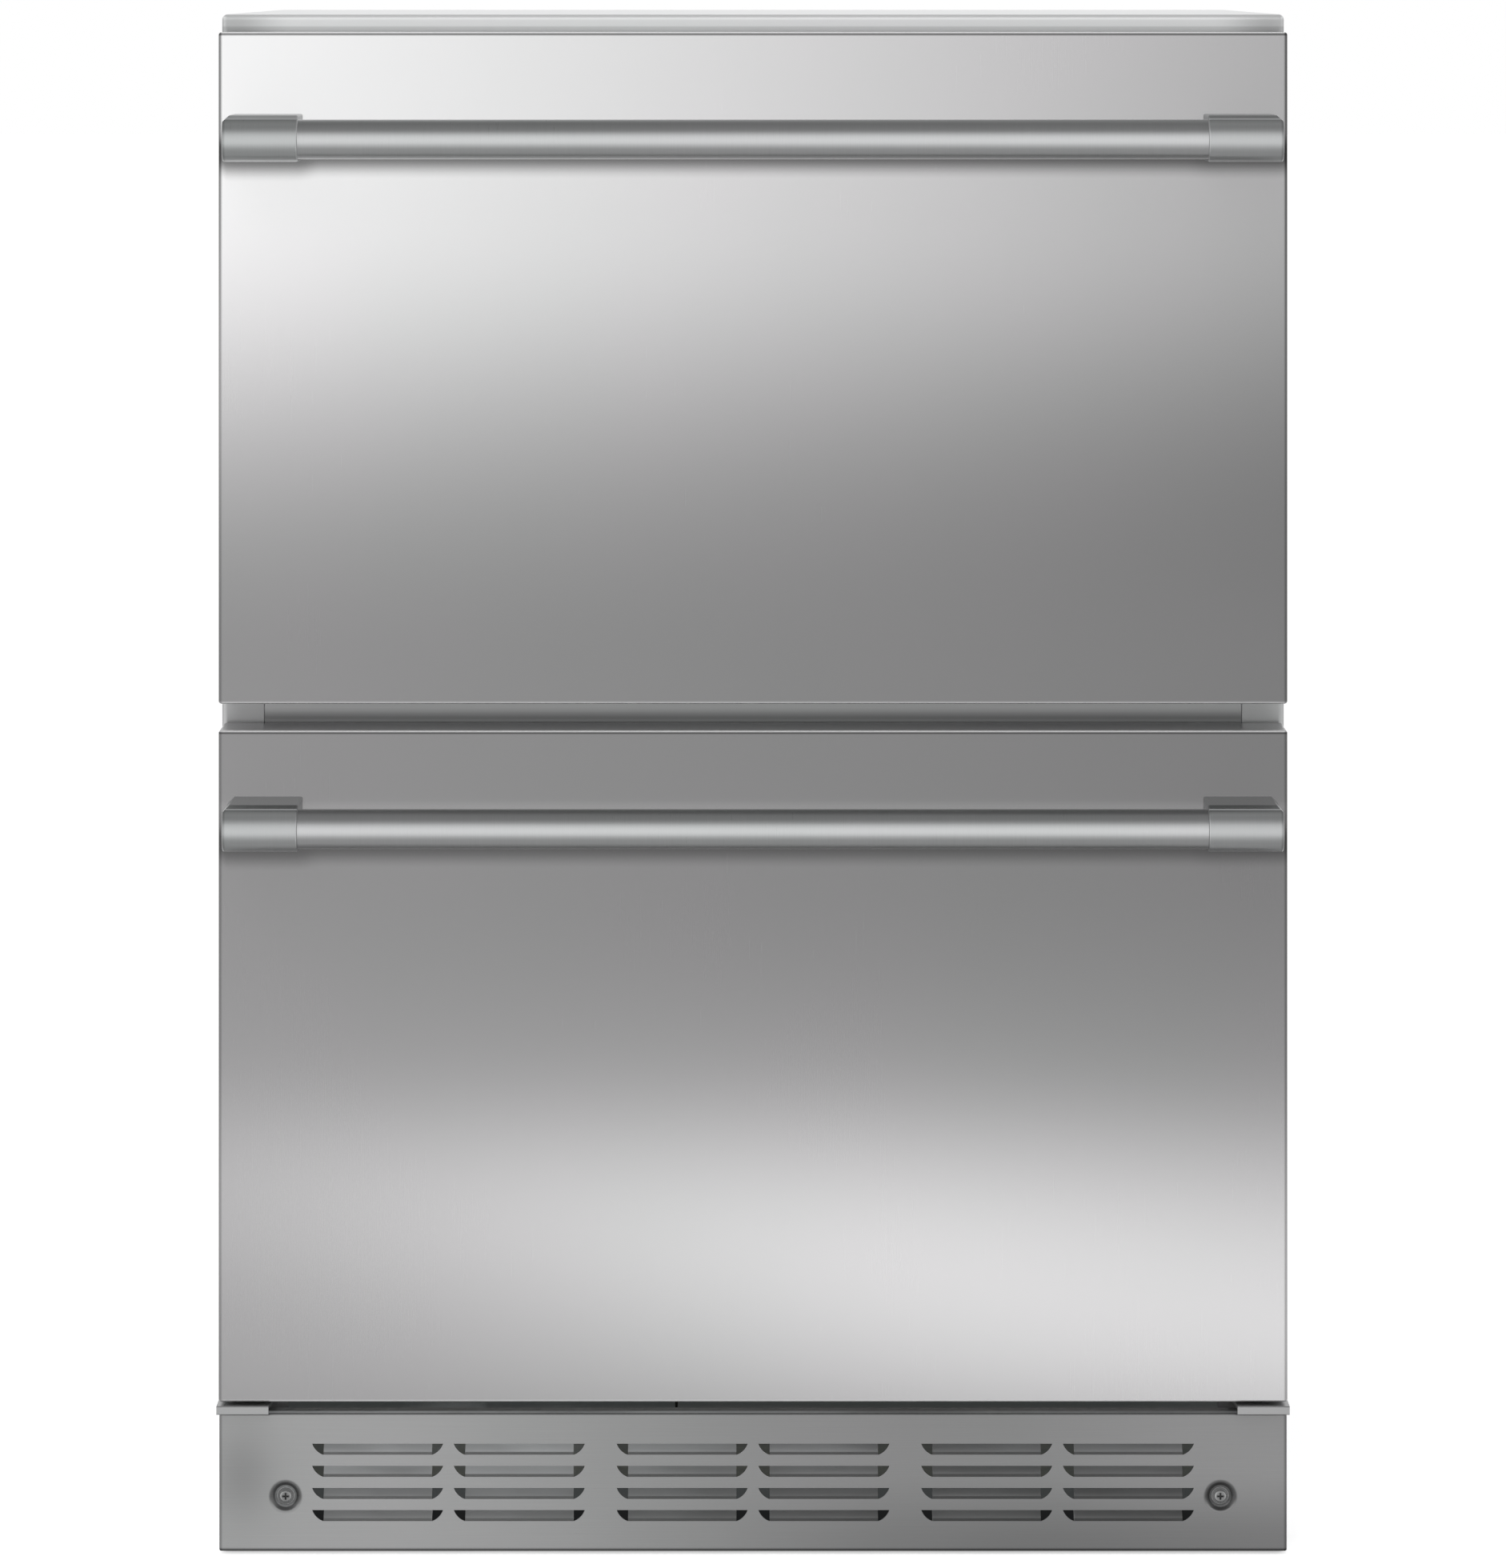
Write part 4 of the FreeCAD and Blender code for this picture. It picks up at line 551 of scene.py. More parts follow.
MAT = {
    "brushed_stainless": steel("drawer_steel", drawer_level, "Z", rough=0.26, depth=0.21, tint=(1.0, 1.0, 1.0), waves=0.035),
    "kick_stainless": steel("kick_steel", kick_level, "X", rough=0.30, depth=0.8, waves=0.16, glow=kick_glow, tint=(0.99, 1.0, 0.995)),
    "handle_stainless": steel("handle_steel", bar_level, "ring", rough=0.30, depth=0.75, waves=0.03, metallic=0.92, aniso=0.6, tint=(0.98, 1.0, 0.998)),
    "bracket_steel": steel("bracket_steel", 0.42, "X", rough=0.32, depth=0.6),
    "cabinet_satin_steel": steel("cabinet_steel", flange_level, "Y", rough=0.34, depth=0.5, aniso=0.4),
    "screw_steel": steel("screw_steel", screw_level, "ring", rough=0.25, depth=0.8, aniso=0.2, waves=0.25),
    "galvanised_steel": galvanised("galvanised"),
    "insulation_foam": foam("foam"),
    "liner_white": speckled("liner_gloss", (0.80, 0.815, 0.83), 0.28, scale=420, depth=0.00012, strength=0.35, vary=0.02, coat=0.15),
    "drawer_liner_white": speckled("panel_gloss", (0.80, 0.815, 0.83), 0.30, scale=420, depth=0.00012, strength=0.35, vary=0.02, coat=0.15),
    "bin_plastic": speckled("bin_plastic", (0.68, 0.71, 0.74), 0.33, scale=800, depth=0.00006, strength=0.3, vary=0.03, coat=0.1),
    "divider_plastic": clear_plastic("divider_clear"),
    "gasket_rubber": rubber("gasket_vinyl", (0.52, 0.53, 0.545), 0.48, 0.05),
    "slide_zinc": zinc("slide_zinc"),
    "compressor_black": speckled("compressor_paint", (0.018, 0.018, 0.019), 0.32, scale=260, depth=0.0003, strength=0.35, vary=0.25, dirt=0.25, coat=0.3),
    "mount_rubber": rubber("mount_rubber"),
    "coil_aluminium": fins("fin_stock"),
    "shroud_black": speckled("shroud_plastic", (0.035, 0.035, 0.037), 0.55, scale=600, depth=0.0001, vary=0.12, dirt=0.2),
    "fan_black": speckled("fan_plastic", (0.03, 0.03, 0.032), 0.42, scale=500, depth=0.00006, vary=0.12, dirt=0.15),
    "motor_steel": speckled("motor_paint", (0.26, 0.27, 0.28), 0.38, metallic=0.6, scale=350, depth=0.00012, vary=0.12, dirt=0.1),
    "copper": copper("copper"),
    "tray_plastic": speckled("tray_plastic", (0.05, 0.05, 0.052), 0.5, scale=300, depth=0.00015, vary=0.12, dirt=0.3),
    "cord_black": rubber("cord_vinyl", (0.022, 0.022, 0.024), 0.45, 0.06),
    "console_plastic": speckled("console_plastic", (0.045, 0.047, 0.05), 0.30, scale=900, depth=0.00005, vary=0.06, coat=0.2),
    "button_plastic": speckled("button_plastic", (0.50, 0.51, 0.53), 0.35, scale=900, depth=0.00004, vary=0.04, coat=0.1),
    "light_lens": lens("lens"),
    "leg_steel": zinc("leg_zinc", 0.42),
}
MAT["post"] = steel("post_steel", post_level, "ring", rough=0.30, depth=0.75, waves=0.03, metallic=0.92, aniso=0.6, tint=(0.97, 1.0, 0.995), glow=post_glow)
# the base pan glows faintly as painted bounce light, and its front lip is darkened in painted shade
MAT["pan"] = galvanised("galvanised_pan", glow=0.034, lip=lo("base_pan").y + 0.006)
MAT["mullion"] = steel("mullion_steel", mullion_level, "X", rough=0.34, depth=0.8, aniso=0.4)
BRASS = speckled("pin_brass", (0.80, 0.62, 0.30), 0.25, metallic=1.0, scale=500, depth=0.00003, vary=0.10)
WIRE = [speckled("wire_%s" % n, c, 0.42, scale=900, depth=0.00003, vary=0.08) for n, c in (("black", (0.02, 0.02, 0.02)), ("white", (0.75, 0.75, 0.73)), ("green", (0.03, 0.25, 0.06)), ("brown", (0.16, 0.07, 0.03)))]
DIGIT = glowing("digit_glow", (0.55, 0.85, 1.0), 2.2)
DARK_GLASS = speckled("display_glass", (0.008, 0.009, 0.011), 0.08, scale=40, depth=0.00001, vary=0.1, coat=1.0)

for name, obj in NODES.items():
    mat = MAT["mullion"] if name == "center_mullion" else MAT["pan"] if name == "base_pan" else MAT["post"] if name.endswith("_handle_posts") else MAT[SLOT[name]]
    if "_handle_" in name:
        obj.visible_glossy = False
    if obj.material_slots:
        for s in obj.material_slots:
            s.material = mat
    else:
        obj.data.materials.append(mat)


# ------------------------------------------------------------------ mesh helpers
def piece(name, verts, faces, mats, body, smooth=True, sharp=0.7, index=None):
    mesh = bpy.data.meshes.new(name)
    mesh.from_pydata([tuple(v) for v in verts], [], faces)
    mesh.update()
    bm = bmesh.new()
    bm.from_mesh(mesh)
    bmesh.ops.remove_doubles(bm, verts=bm.verts, dist=1e-6)
    bmesh.ops.recalc_face_normals(bm, faces=bm.faces)
    for e in bm.edges:
        e.smooth = not (len(e.link_faces) == 2 and e.calc_face_angle(0.0) > sharp)
    for f in bm.faces:
        f.smooth = smooth
    bm.to_mesh(mesh)
    bm.free()
    obj = bpy.data.objects.new(name, mesh)
    scene.collection.objects.link(obj)
    for mt in (mats if isinstance(mats, (list, tuple)) else [mats]):
        mesh.materials.append(mt)
    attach(obj, body)
    return obj


class Soup:
    """Collects several closed shells into one mesh."""

    def __init__(self):
        self.v, self.f = [], []

    def shell(self, verts, faces):
        n = len(self.v)
        self.v += [Vector(p) for p in verts]
        self.f += [tuple(i + n for i in f) for f in faces]
        return self

    def lathe(self, profile, origin, axis="Z", seg=32, flip=False):
        """profile: (radius, height) from one end on the axis to the other."""
        verts, faces, rings = [], [], []
        for r, h in profile:
            if r < 1e-7:
                rings.append([len(verts)])
                verts.append((0, 0, h))
            else:
                rings.append(list(range(len(verts), len(verts) + seg)))
                verts += [(r * math.cos(2 * math.pi * i / seg), r * math.sin(2 * math.pi * i / seg), h) for i in range(seg)]
        for a, b in zip(rings, rings[1:]):
            for i in range(seg):
                j = (i + 1) % seg
                if len(a) == 1 and len(b) == 1:
                    continue
                if len(a) == 1:
                    faces.append((a[0], b[j], b[i]))
                elif len(b) == 1:
                    faces.append((a[i], a[j], b[0]))
                else:
                    faces.append((a[i], a[j], b[j], b[i]))
        m = {"Z": Matrix.Identity(3), "Y": Matrix.Rotation(-math.pi / 2, 3, "X"), "-Y": Matrix.Rotation(math.pi / 2, 3, "X"), "X": Matrix.Rotation(math.pi / 2, 3, "Y"), "-X": Matrix.Rotation(-math.pi / 2, 3, "Y")}[axis]
        return self.shell([m @ Vector(v) + Vector(origin) for v in verts], faces)

    def tube(self, path, radius, seg=14, closed=False, radii=None, cap=True):
        """A round section carried along path without twist."""
        path = [Vector(p) for p in path]
        n = len(path)
        verts, faces = [], []
        tangents = []
        for i in range(n):
            a = path[i - 1] if i > 0 else path[0]
            b = path[i + 1] if i < n - 1 else path[-1]
            tangents.append((b - a).normalized())
        up = Vector((0, 0, 1)) if abs(tangents[0].z) < 0.9 else Vector((0, 1, 0))
        side = tangents[0].cross(up).normalized()
        for i in range(n):
            side = (side - tangents[i] * side.dot(tangents[i])).normalized()
            other = tangents[i].cross(side)
            r = radii[i] if radii else radius
            for k in range(seg):
                a = 2 * math.pi * k / seg
                verts.append(path[i] + (side * math.cos(a) + other * math.sin(a)) * r)
        for i in range(n - 1):
            for k in range(seg):
                j = (k + 1) % seg
                faces.append((i * seg + k, i * seg + j, (i + 1) * seg + j, (i + 1) * seg + k))
        if cap:
            faces.append(tuple(range(seg))[::-1])
            faces.append(tuple(range((n - 1) * seg, n * seg)))
        return self.shell(verts, faces)

    def block(self, a, b, bevel=0.0, seg=3):
        """A block with rounded edges."""
        bm = bmesh.new()
        bmesh.ops.create_cube(bm, size=1.0)
        a, b = Vector(a), Vector(b)
        for v in bm.verts:
            v.co = Vector([a[i] + (b[i] - a[i]) * (v.co[i] + 0.5) for i in range(3)])
        if bevel:
            bmesh.ops.bevel(bm, geom=list(bm.edges), offset=bevel, segments=seg, profile=0.5, affect="EDGES")
        bm.verts.index_update()
        out = self.shell([v.co.copy() for v in bm.verts], [[v.index for v in f.verts] for f in bm.faces])
        bm.free()
        return out

    def ball(self, centre, r, div=2):
        bm = bmesh.new()
        bmesh.ops.create_icosphere(bm, subdivisions=div, radius=r)
        bm.verts.index_update()
        self.shell([v.co + Vector(centre) for v in bm.verts], [[v.index for v in f.verts] for f in bm.faces])
        bm.free()
        return self


def soft_path(points, bend=0.02, step=0.004):
    """Points along a polyline with rounded corners, evenly spaced."""
    pts = [Vector(p) for p in points]
    out = [pts[0]]
    for i in range(1, len(pts) - 1):
        p, a, b = pts[i], pts[i - 1] - pts[i], pts[i + 1] - pts[i]
        reach = min(bend, a.length * 0.48, b.length * 0.48)
        s, e_ = p + a.normalized() * reach, p + b.normalized() * reach
        for k in range(9):
            u = k / 8
            out.append(s * (1 - u) ** 2 + p * 2 * u * (1 - u) + e_ * u * u)
    out.append(pts[-1])
    even, carry = [out[0]], 0.0
    for a, b in zip(out, out[1:]):
        d = (b - a).length
        if d < 1e-9:
            continue
        k = max(1, int(d / step))
        for i in range(1, k + 1):
            even.append(a.lerp(b, i / k))
    return even


# ------------------------------------------------------------------ gaskets: hollow bellows with a magnet pocket
def gasket(which):
    node = which + "_gasket"
    a, b = lo(node), hi(node)
    y0, y1 = a.y + 0.00002, b.y - 0.00002
    h = y1 - y0
    corner, steps = 0.0165, 8
    # section: distance in from the outer edge, and height off the drawer
    section = [(0.6, 0.0), (13.4, 0.0), (13.7, 0.5), (13.3, 1.0), (11.4, 1.15), (11.0, 1.5), (11.9, 2.1), (12.5, 2.6), (12.1, 3.2), (11.3, 3.7), (11.5, 4.2), (12.6, 4.6),
               (12.9, 5.3), (12.6, 6.2), (11.8, 6.75), (10.6, 6.86), (4.2, 6.86), (3.0, 6.7), (2.3, 6.1), (2.2, 5.2), (2.6, 4.5), (3.2, 4.1), (2.9, 3.6), (1.9, 3.2), (1.3, 2.7), (1.8, 2.1),
               (3.0, 1.6), (2.8, 1.2), (0.9, 1.05), (0.3, 0.6)]
    scale = h / 0.00686
    path = []
    for cx, cz, start in ((b.x - corner, b.z - corner, 0), (a.x + corner, b.z - corner, 90), (a.x + corner, a.z + corner, 180), (b.x - corner, a.z + corner, 270)):
        for i in range(steps + 1):
            ang = math.radians(start + 90 * i / steps)
            path.append((cx, cz, math.cos(ang), math.sin(ang)))
        # straight runs get in-between stations, so the vinyl can waver a little
        nxt = {0: (a.x + corner, b.z - corner, 0, 1), 90: (a.x + corner, a.z + corner, -1, 0), 180: (b.x - corner, a.z + corner, 0, -1), 270: (b.x - corner, b.z - corner, 1, 0)}[start]
        for i in range(1, 24):
            u = i / 24
            path.append((cx + (nxt[0] - cx) * u, cz + (nxt[1] - cz) * u, nxt[2], nxt[3]))
    m = len(section)
    verts, faces = [], []
    for k, (cx, cz, nx, nz) in enumerate(path):
        wav = 0.00012 * math.sin(k * 0.9) + 0.00008 * math.sin(k * 2.3 + 1.0)
        for u, w in section:
            d = corner - u / 1000.0 + (wav if w > 1.2 and w < 6 else 0)
            verts.append((cx + nx * d, y0 + w / 1000.0 * scale, cz + nz * d))
    n = len(path)
    for k in range(n):
        q = (k + 1) % n
        for i in range(m):
            j = (i + 1) % m
            faces.append((k * m + i, k * m + j, q * m + j, q * m + i))
    g = piece(which + "_gasket_bellows", verts, faces, MAT["gasket_rubber"], which + "_drawer", sharp=1.2)
    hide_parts(node)
    return g


for which in ("upper", "lower"):
    gasket(which)

# ------------------------------------------------------------------ power cord, strain relief and three-pin plug
a, b = lo("power_cord"), hi("power_cord")
cable = Soup()
mm = 0.001
turns = [(-20, 236.3, 206), (-20, 270, 206), (-20, 270, 150), (-20, 316, 150), (-2, 316, 150), (20, 316, 150), (60, 316, 214), (250, 316, 214), (250, 316, 70), (30, 316, 70), (30, 316, 205), (240, 316, 205), (240, 316, 79),
         (40, 316, 79), (40, 316, 196), (231, 316, 196), (231, 316, 140), (176, 316, 140)]
run = soft_path([Vector(p) * mm for p in turns], 0.030, 0.004)
wavy = []
for i, p in enumerate(run):
    edge = min(1.0, min(i, len(run) - 1 - i) / 14)
    wavy.append(p + Vector((math.sin(i * 0.21), 0.4 * math.sin(i * 0.17 + 1), math.cos(i * 0.19))) * 0.0007 * edge)
cable.tube(wavy, 0.0036, seg=16)
cord = piece("power_cord_cable", cable.v, cable.f, MAT["cord_black"], "cabinet")
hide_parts("power_cord")
plug = Soup()
# moulded plug body, tapered, with finger ridges
prof = []
for i in range(0, 13):
    x = 0.140 + 0.036 * i / 12
    grow = 0.0115 - 0.0038 * (i / 12) ** 1.6
    ridge = 0.0006 if 3 <= i <= 9 and i % 2 else 0.0
    prof.append((x, grow + ridge, 0.0094 - 0.0028 * (i / 12) ** 1.4 + ridge * 0.6))
verts, faces, seg = [], [], 24
for x, rz, ry in prof:
    for k in range(seg):
        ang = 2 * math.pi * k / seg
        c, s = math.cos(ang), math.sin(ang)
        p = 0.62
        verts.append((x, 0.3172 + ry * math.copysign(abs(c) ** p, c), 0.140 + rz * math.copysign(abs(s) ** p, s)))
for i in range(len(prof) - 1):
    for k in range(seg):
        j = (k + 1) % seg
        faces.append((i * seg + k, i * seg + j, (i + 1) * seg + j, (i + 1) * seg + k))
faces += [tuple(range(seg))[::-1], tuple(range((len(prof) - 1) * seg, len(prof) * seg))]
plug.shell(verts, faces)
relief = [(0.0, 0.0)]
for i in range(8):
    r = 0.0066 - 0.0003 * i
    relief += [(r - 0.0009, 0.0018 * i), (r, 0.0018 * i + 0.0004), (r, 0.0018 * i + 0.0011), (r - 0.0009, 0.0018 * i + 0.0016)]
relief += [(0.0040, 0.0155), (0.0, 0.0155)]
plug.lathe(relief, (0.1755, 0.3162, 0.140), "X", 24)
flange = [(0.0, 0.0), (0.0088, 0.0), (0.0092, 0.0006), (0.0088, 0.0022), (0.0062, 0.0030), (0.0056, 0.0075), (0.0048, 0.0082), (0.0, 0.0082)]
plug.lathe(flange, (-0.020, 0.30712, 0.150), "Y", 28)
piece("power_cord_plug", plug.v, plug.f, MAT["cord_black"], "cabinet", sharp=0.9)
pins = Soup()
pins.block((0.120, 0.3115, 0.1324), (0.142, 0.3175, 0.1339), 0.0005, 2)
pins.block((0.120, 0.3115, 0.1461), (0.142, 0.3175, 0.1476), 0.0005, 2)
pins.lathe([(0, 0), (0.0016, 0), (0.0023, 0.0014), (0.0024, 0.020), (0.0024, 0.024), (0, 0.024)], (0.118, 0.3222, 0.140), "X", 20)
piece("power_cord_pins", pins.v, pins.f, BRASS, "cabinet")

# ------------------------------------------------------------------ rubber feet of the compressor, ribbed
mounts = Soup()
lo_m, hi_m = lo("compressor_mounts"), hi("compressor_mounts")
r_out = 0.011
for x in (lo_m.x + r_out, hi_m.x - r_out):
    for y in (lo_m.y + r_out, hi_m.y - r_out):
        z0 = lo_m.z
        p = [(0.0034, 0.0), (0.0106, 0.0), (0.011, 0.0006), (0.011, 0.0034), (0.0104, 0.0046), (0.0088, 0.0058), (0.0083, 0.0070), (0.0089, 0.0082), (0.0083, 0.0094), (0.0090, 0.0106), (0.0086, 0.0118),
             (0.0102, 0.0134), (0.011, 0.0146), (0.0109, 0.0153), (0.0070, 0.0154), (0.0070, 0.0187), (0.0098, 0.0188), (0.0100, 0.0196), (0.0098, 0.0215), (0.0088, 0.0225), (0.0034, 0.0225), (0.0034, 0.0)]
        mounts.lathe([(r, h) for r, h in p], (x, y, z0), "Z", 28)
g = piece("compressor_mount_grommets", mounts.v, mounts.f, MAT["mount_rubber"], "cabinet")
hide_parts("compressor_mounts")

# ------------------------------------------------------------------ bearing balls in the slides
for which in ("upper", "lower"):
    zc = (lo(which + "_outer_rails").z + hi(which + "_outer_rails").z) / 2
    wall = hi(which + "_outer_rails").x
    y0, y1 = lo(which + "_middle_rails").y, hi(which + "_middle_rails").y
    balls, cage = Soup(), Soup()
    for side in (-1, 1):
        for v, u, r in ((18.95, 6.9, 2.25), (12.95, 8.2, 2.3)):
            for s in (-1, 1):
                n = 9
                start = y0 + (0.20 if v > 15 else 0.02)
                span = 0.016 * n
                for i in range(n):
                    y = start + 0.016 * i + 0.008
                    balls.ball((side * (wall - u * mm), y, zc + s * v * mm), r * mm, 2)
                x0, x1 = sorted((side * (wall - (u + 0.35) * mm), side * (wall - (u - 0.35) * mm)))
                cage.block((x0, start, zc + s * v * mm - 0.0016), (x1, start + span, zc + s * v * mm + 0.0016), 0.0002, 1)
    piece(which + "_slide_balls", balls.v, balls.f, zinc(which + "_ball_steel", 0.75), which + "_slide_middle", sharp=3.0)
    piece(which + "_slide_ball_cages", cage.v, cage.f, WIRE[1], which + "_slide_middle")

# ------------------------------------------------------------------ hex-head screws with washers on the rear cover, round-headed screws on the rear panel


def hex_screw(soup, origin, axis, r=0.0042):
    """A hex washer-head screw that stands off along axis."""
    x, y, z = origin
    soup.lathe([(0, 0), (r * 1.45, 0), (r * 1.5, 0.0003), (r * 1.4, 0.0008), (r * 1.02, 0.0010), (0, 0.0010)], origin, axis, 24)
    off = {"Y": (0, 0.0009, 0), "-Y": (0, -0.0009, 0), "Z": (0, 0, 0.0009), "X": (0.0009, 0, 0), "-X": (-0.0009, 0, 0)}[axis]
    soup.lathe([(0, 0), (r, 0), (r, 0.0011), (r * 0.86, 0.0016), (0, 0.0016)], (x + off[0], y + off[1], z + off[2]), axis, 6)


rear = Soup()
yb = hi("rear_cover").y
for x in (-0.290, -0.10, 0.10, 0.290):
    for z in (0.056, 0.246):
        if not (abs(x) < 0.2 and z < 0.1):
            hex_screw(rear, (x, yb, z), "Y", 0.0036)
yr = hi("rear_panel").y - 0.002
for x in (-0.290, 0.290):
    for z in (0.275, 0.47, 0.66, 0.855):
        rear.lathe([(0, -0.0006), (0.0046, -0.0006), (0.0046, 0.0002), (0.0034, 0.0013), (0.0016, 0.0018), (0, 0.0018)], (x, yr, z), "Y", 20)
piece("rear_screws", rear.v, rear.f, MAT["screw_steel"], "cabinet", sharp=0.6)

# ------------------------------------------------------------------ wiring in the machine compartment
motor_y = hi("condenser_fan_motor").y
fan_x, fan_z = -0.165, 0.112
harness = [
    [(-0.0505, 0.214, 0.215), (-0.085, 0.224, 0.212), (-0.120, 0.250, 0.160), (fan_x + 0.012, motor_y + 0.012, fan_z + 0.008), (fan_x + 0.004, motor_y - 0.001, fan_z + 0.004)],
    [(-0.0505, 0.209, 0.211), (-0.088, 0.219, 0.207), (-0.123, 0.246, 0.155), (fan_x + 0.008, motor_y + 0.010, fan_z + 0.003), (fan_x, motor_y - 0.001, fan_z)],
    [(0.0445, 0.165, 0.205), (0.058, 0.160, 0.200), (0.066, 0.157, 0.165), (0.070, 0.168, 0.141)],
    [(0.0445, 0.170, 0.200), (0.056, 0.166, 0.195), (0.063, 0.163, 0.165), (0.067, 0.178, 0.141)],
]
for i, pts in enumerate(harness):
    w = Soup()
    w.tube(soft_path(pts, 0.018, 0.003), 0.0011, seg=10)
    piece("harness_wire_%d" % (i + 1), w.v, w.f, WIRE[(0, 1, 3, 2)[i]], "cabinet")

# ------------------------------------------------------------------ display window and numerals on the control panel
yc = lo("control_panel").y
glass = Soup()
glass.block((0.0625, yc + 0.00035, 0.8065), (0.1115, yc + 0.0014, 0.8195), 0.0003, 2)
piece("control_panel_window", glass.v, glass.f, DARK_GLASS, "cabinet")
SEG = {"3": "abcdg", "7": "abc", "8": "abcdefg"}


def digit(soup, ch, x, z, w=0.0042, h=0.0078, d=0.0007):
    bars = {"a": ((0, h), (w, h)), "g": ((0, h / 2), (w, h / 2)), "d": ((0, 0), (w, 0)), "f": ((0, h / 2), (0, h)), "b": ((w, h / 2), (w, h)), "e": ((0, 0), (0, h / 2)), "c": ((w, 0), (w, h / 2))}
    for s in SEG[ch]:
        (x0, z0), (x1, z1) = bars[s]
        gap = 0.0005
        if x0 == x1:
            z0, z1 = z0 + gap, z1 - gap
            soup.block((x + x0 - d / 2, yc + 0.00005, z + z0), (x + x0 + d / 2, yc + 0.0004, z + z1), 0.0001, 1)
        else:
            x0, x1 = x0 + gap, x1 - gap
            soup.block((x + x0, yc + 0.00005, z + z0 - d / 2), (x + x1, yc + 0.0004, z + z0 + d / 2), 0.0001, 1)


num = Soup()
digit(num, "3", 0.0800, 0.8091)
digit(num, "8", 0.0870, 0.8091)
piece("control_panel_numerals", num.v, num.f, DIGIT, "cabinet", smooth=False)

# ------------------------------------------------------------------ floor, light and camera
ground = bpy.data.meshes.new("floor")
ground.from_pydata([(-40, -40, 0), (40, -40, 0), (40, 40, 0), (-40, 40, 0)], [], [(0, 1, 2, 3)])
floor = bpy.data.objects.new("floor", ground)
scene.collection.objects.link(floor)
m, t = material("pale_floor")
fl_noise = t.noise(t.coords(), 3.0, 3.0, 0.5)
seen = t.node("ShaderNodeLightPath").outputs["Is Camera Ray"]
fx_, fy_, fz_ = t.xyz(t.coords())
# painted shade: the floor's colour goes nearly black under the machine
beneath = t.mul(t.smooth(t.math("ABSOLUTE", fx_), 0.302, 0.297), t.mul(t.smooth(fy_, -0.262, -0.250), t.smooth(fy_, 0.325, 0.318)))
open_floor = t.math("SUBTRACT", 1.0, beneath)
t.shader(Base_Color=t.blend(beneath, t.blend(fl_noise, (0.86, 0.86, 0.86), (0.88, 0.88, 0.88)), (0.05, 0.05, 0.05)), Roughness=0.9, Specular_IOR_Level=0.0, Emission_Color=(1, 1, 1), Emission_Strength=t.mul(t.mul(seen, 0.50), open_floor))
ground.materials.append(m)
floor.visible_glossy = False

world = bpy.data.worlds.new("studio")
scene.world = world
world.use_nodes = True
w = Tree(world.node_tree)
direction = w.node("ShaderNodeTexCoord").outputs["Generated"]
dx, dy, dz = w.xyz(direction)
ramp = w.node("ShaderNodeValToRGB")
els = [(-90, 0.40), (-58, 0.46), (-40, 0.66), (-24, 0.96), (-12, 1.0), (8, 1.0), (26, 0.92), (40, 0.52), (55, 0.27), (90, 0.30)]
ramp.color_ramp.interpolation = "B_SPLINE"
while len(ramp.color_ramp.elements) < len(els):
    ramp.color_ramp.elements.new(0.5)
for k, (deg, v) in zip(ramp.color_ramp.elements, els):
    k.position = (deg + 90) / 180
    k.color = (v, v, v * 1.005, 1)
angle = w.math("DIVIDE", w.math("ADD", w.math("ARCSINE", dz), math.pi / 2), math.pi)
w.put(ramp.inputs[0], angle)
# soft vertical cards to the sides and a dimmer rear, so that side views have something to reflect
az = w.math("ARCTAN2", dx, w.mul(dy, -1.0))
cards = w.add(w.mul(w.bell(az, -1.15, 0.42), 0.22), w.mul(w.bell(az, 1.30, 0.30), 0.10))
dim = w.add(w.mul(w.bell(az, 0.62, 0.26), -0.20), w.mul(w.bell(az, -2.2, 0.5), -0.22))
dim = w.add(dim, w.mul(w.bell(az, 2.3, 0.5), -0.25))
tilt = w.add(1.0, w.add(cards, dim))
glossy = w.node("ShaderNodeVectorMath", operation="SCALE")
w.put(glossy.inputs[0], ramp.outputs[0])
w.put(glossy.inputs["Scale"], tilt)
path = w.node("ShaderNodeLightPath")
bg_soft = w.node("ShaderNodeBackground")
w.put(bg_soft.inputs[0], w.blend(w.smooth(dz, -0.2, 0.9), (0.80, 0.81, 0.82), (1.0, 1.0, 1.0)))
bg_soft.inputs[1].default_value = 0.72
bg_gloss = w.node("ShaderNodeBackground")
w.put(bg_gloss.inputs[0], glossy.outputs[0])
bg_gloss.inputs[1].default_value = 1.0
bg_cam = w.node("ShaderNodeBackground")
bg_cam.inputs[0].default_value = (1, 1, 1, 1)
mix1 = w.node("ShaderNodeMixShader")
w.put(mix1.inputs[0], path.outputs["Is Glossy Ray"])
w.put(mix1.inputs[1], bg_soft.outputs[0])
w.put(mix1.inputs[2], bg_gloss.outputs[0])
mix2 = w.node("ShaderNodeMixShader")
w.put(mix2.inputs[0], path.outputs["Is Camera Ray"])
w.put(mix2.inputs[1], mix1.outputs[0])
w.put(mix2.inputs[2], bg_cam.outputs[0])
out = w.node("ShaderNodeOutputWorld")
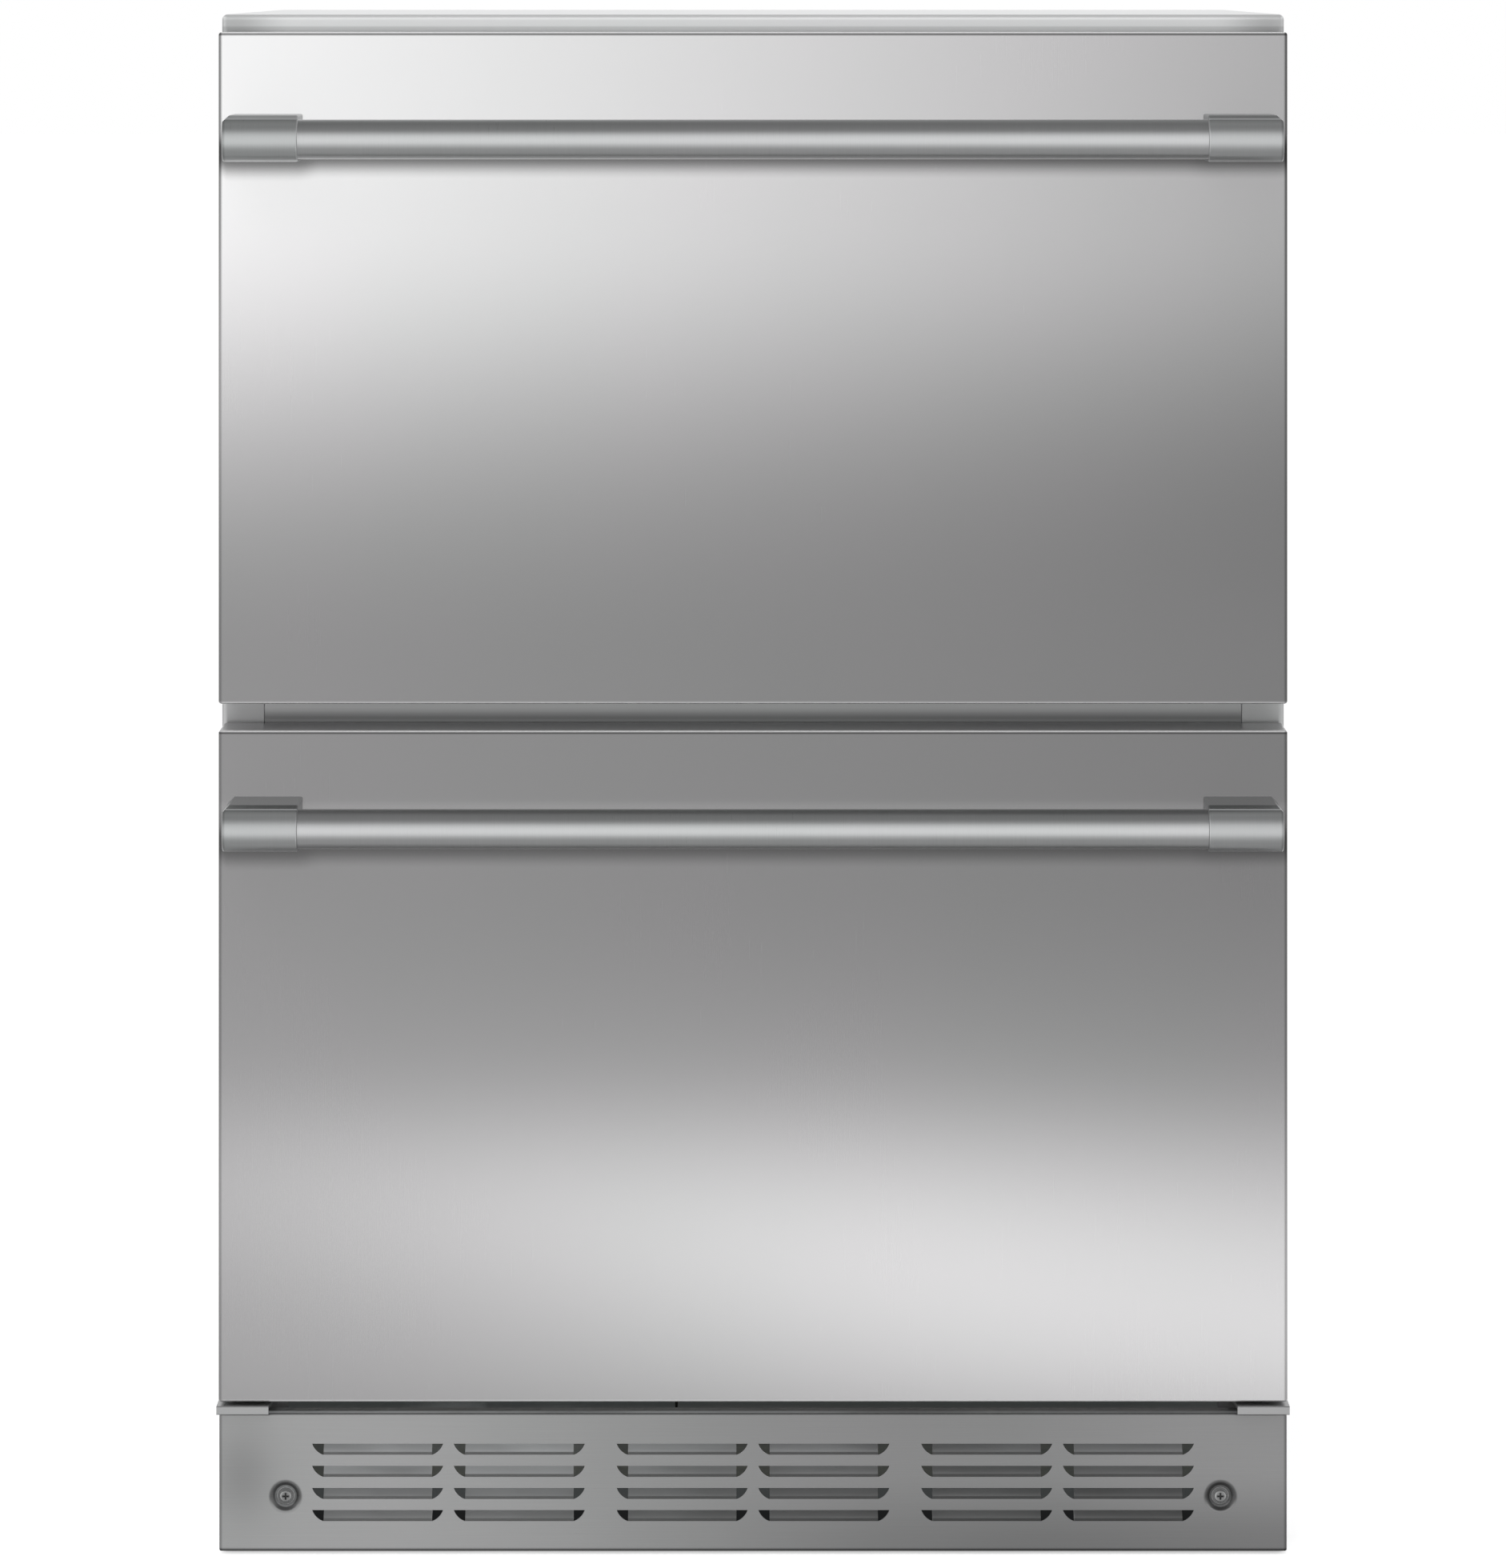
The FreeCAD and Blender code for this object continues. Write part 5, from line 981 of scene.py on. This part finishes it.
w.put(out.inputs[0], mix2.outputs[0])


def area(name, at, aim, size, power, glossy=False):
    data = bpy.data.lights.new(name, "AREA")
    data.shape = "RECTANGLE"
    data.size, data.size_y = size
    data.energy = power
    obj = bpy.data.objects.new(name, data)
    scene.collection.objects.link(obj)
    obj.location = at
    d = Vector(aim) - Vector(at)
    obj.rotation_mode = "QUATERNION"
    obj.rotation_quaternion = d.to_track_quat("-Z", "Y")
    obj.visible_glossy = glossy
    obj.visible_camera = False
    return obj


area("key_above", (-0.5, -1.9, 2.5), (0, -0.25, 0.55), (2.4, 1.4), 30)
area("fill_left", (-2.6, -1.6, 1.2), (0, 0, 0.5), (1.2, 1.6), 14)
area("fill_right", (2.6, -1.2, 1.4), (0, 0, 0.5), (1.2, 1.6), 9)

cam_data = bpy.data.cameras.new("camera")
cam = bpy.data.objects.new("camera", cam_data)
scene.collection.objects.link(cam)
scene.camera = cam
FACE = lo("upper_drawer_front").y
AWAY, EYE = 4.55, 0.893
cam.location = (0.0, FACE - AWAY, EYE)
cam.rotation_mode = "QUATERNION"
cam.rotation_quaternion = Vector((0, 1, 0)).to_track_quat("-Z", "Y")
cam_data.sensor_fit = "AUTO"
cam_data.sensor_width = 36.0
cam_data.lens = 36.0 * AWAY / (1.960 / 2.2156)
cam_data.clip_end = 60
# the lens shift belongs to this one camera place; from any other place the shift is nil
shift = cam_data.driver_add("shift_y").driver
shift.type = "SCRIPTED"
for name, axis in (("px", "LOC_X"), ("py", "LOC_Y"), ("pz", "LOC_Z")):
    var = shift.variables.new()
    var.name = name
    var.type = "TRANSFORMS"
    var.targets[0].id = cam
    var.targets[0].transform_type = axis
    var.targets[0].transform_space = "WORLD_SPACE"
shift.expression = "%.6f if abs(px) + abs(py - (%.6f)) + abs(pz - %.6f) < 0.001 else 0" % (-1012.6 / 1960.0, FACE - AWAY, EYE)

scene.view_settings.view_transform = "Standard"
scene.view_settings.look = "None"
scene.view_settings.exposure = 0.0
scene.view_settings.gamma = 1.0
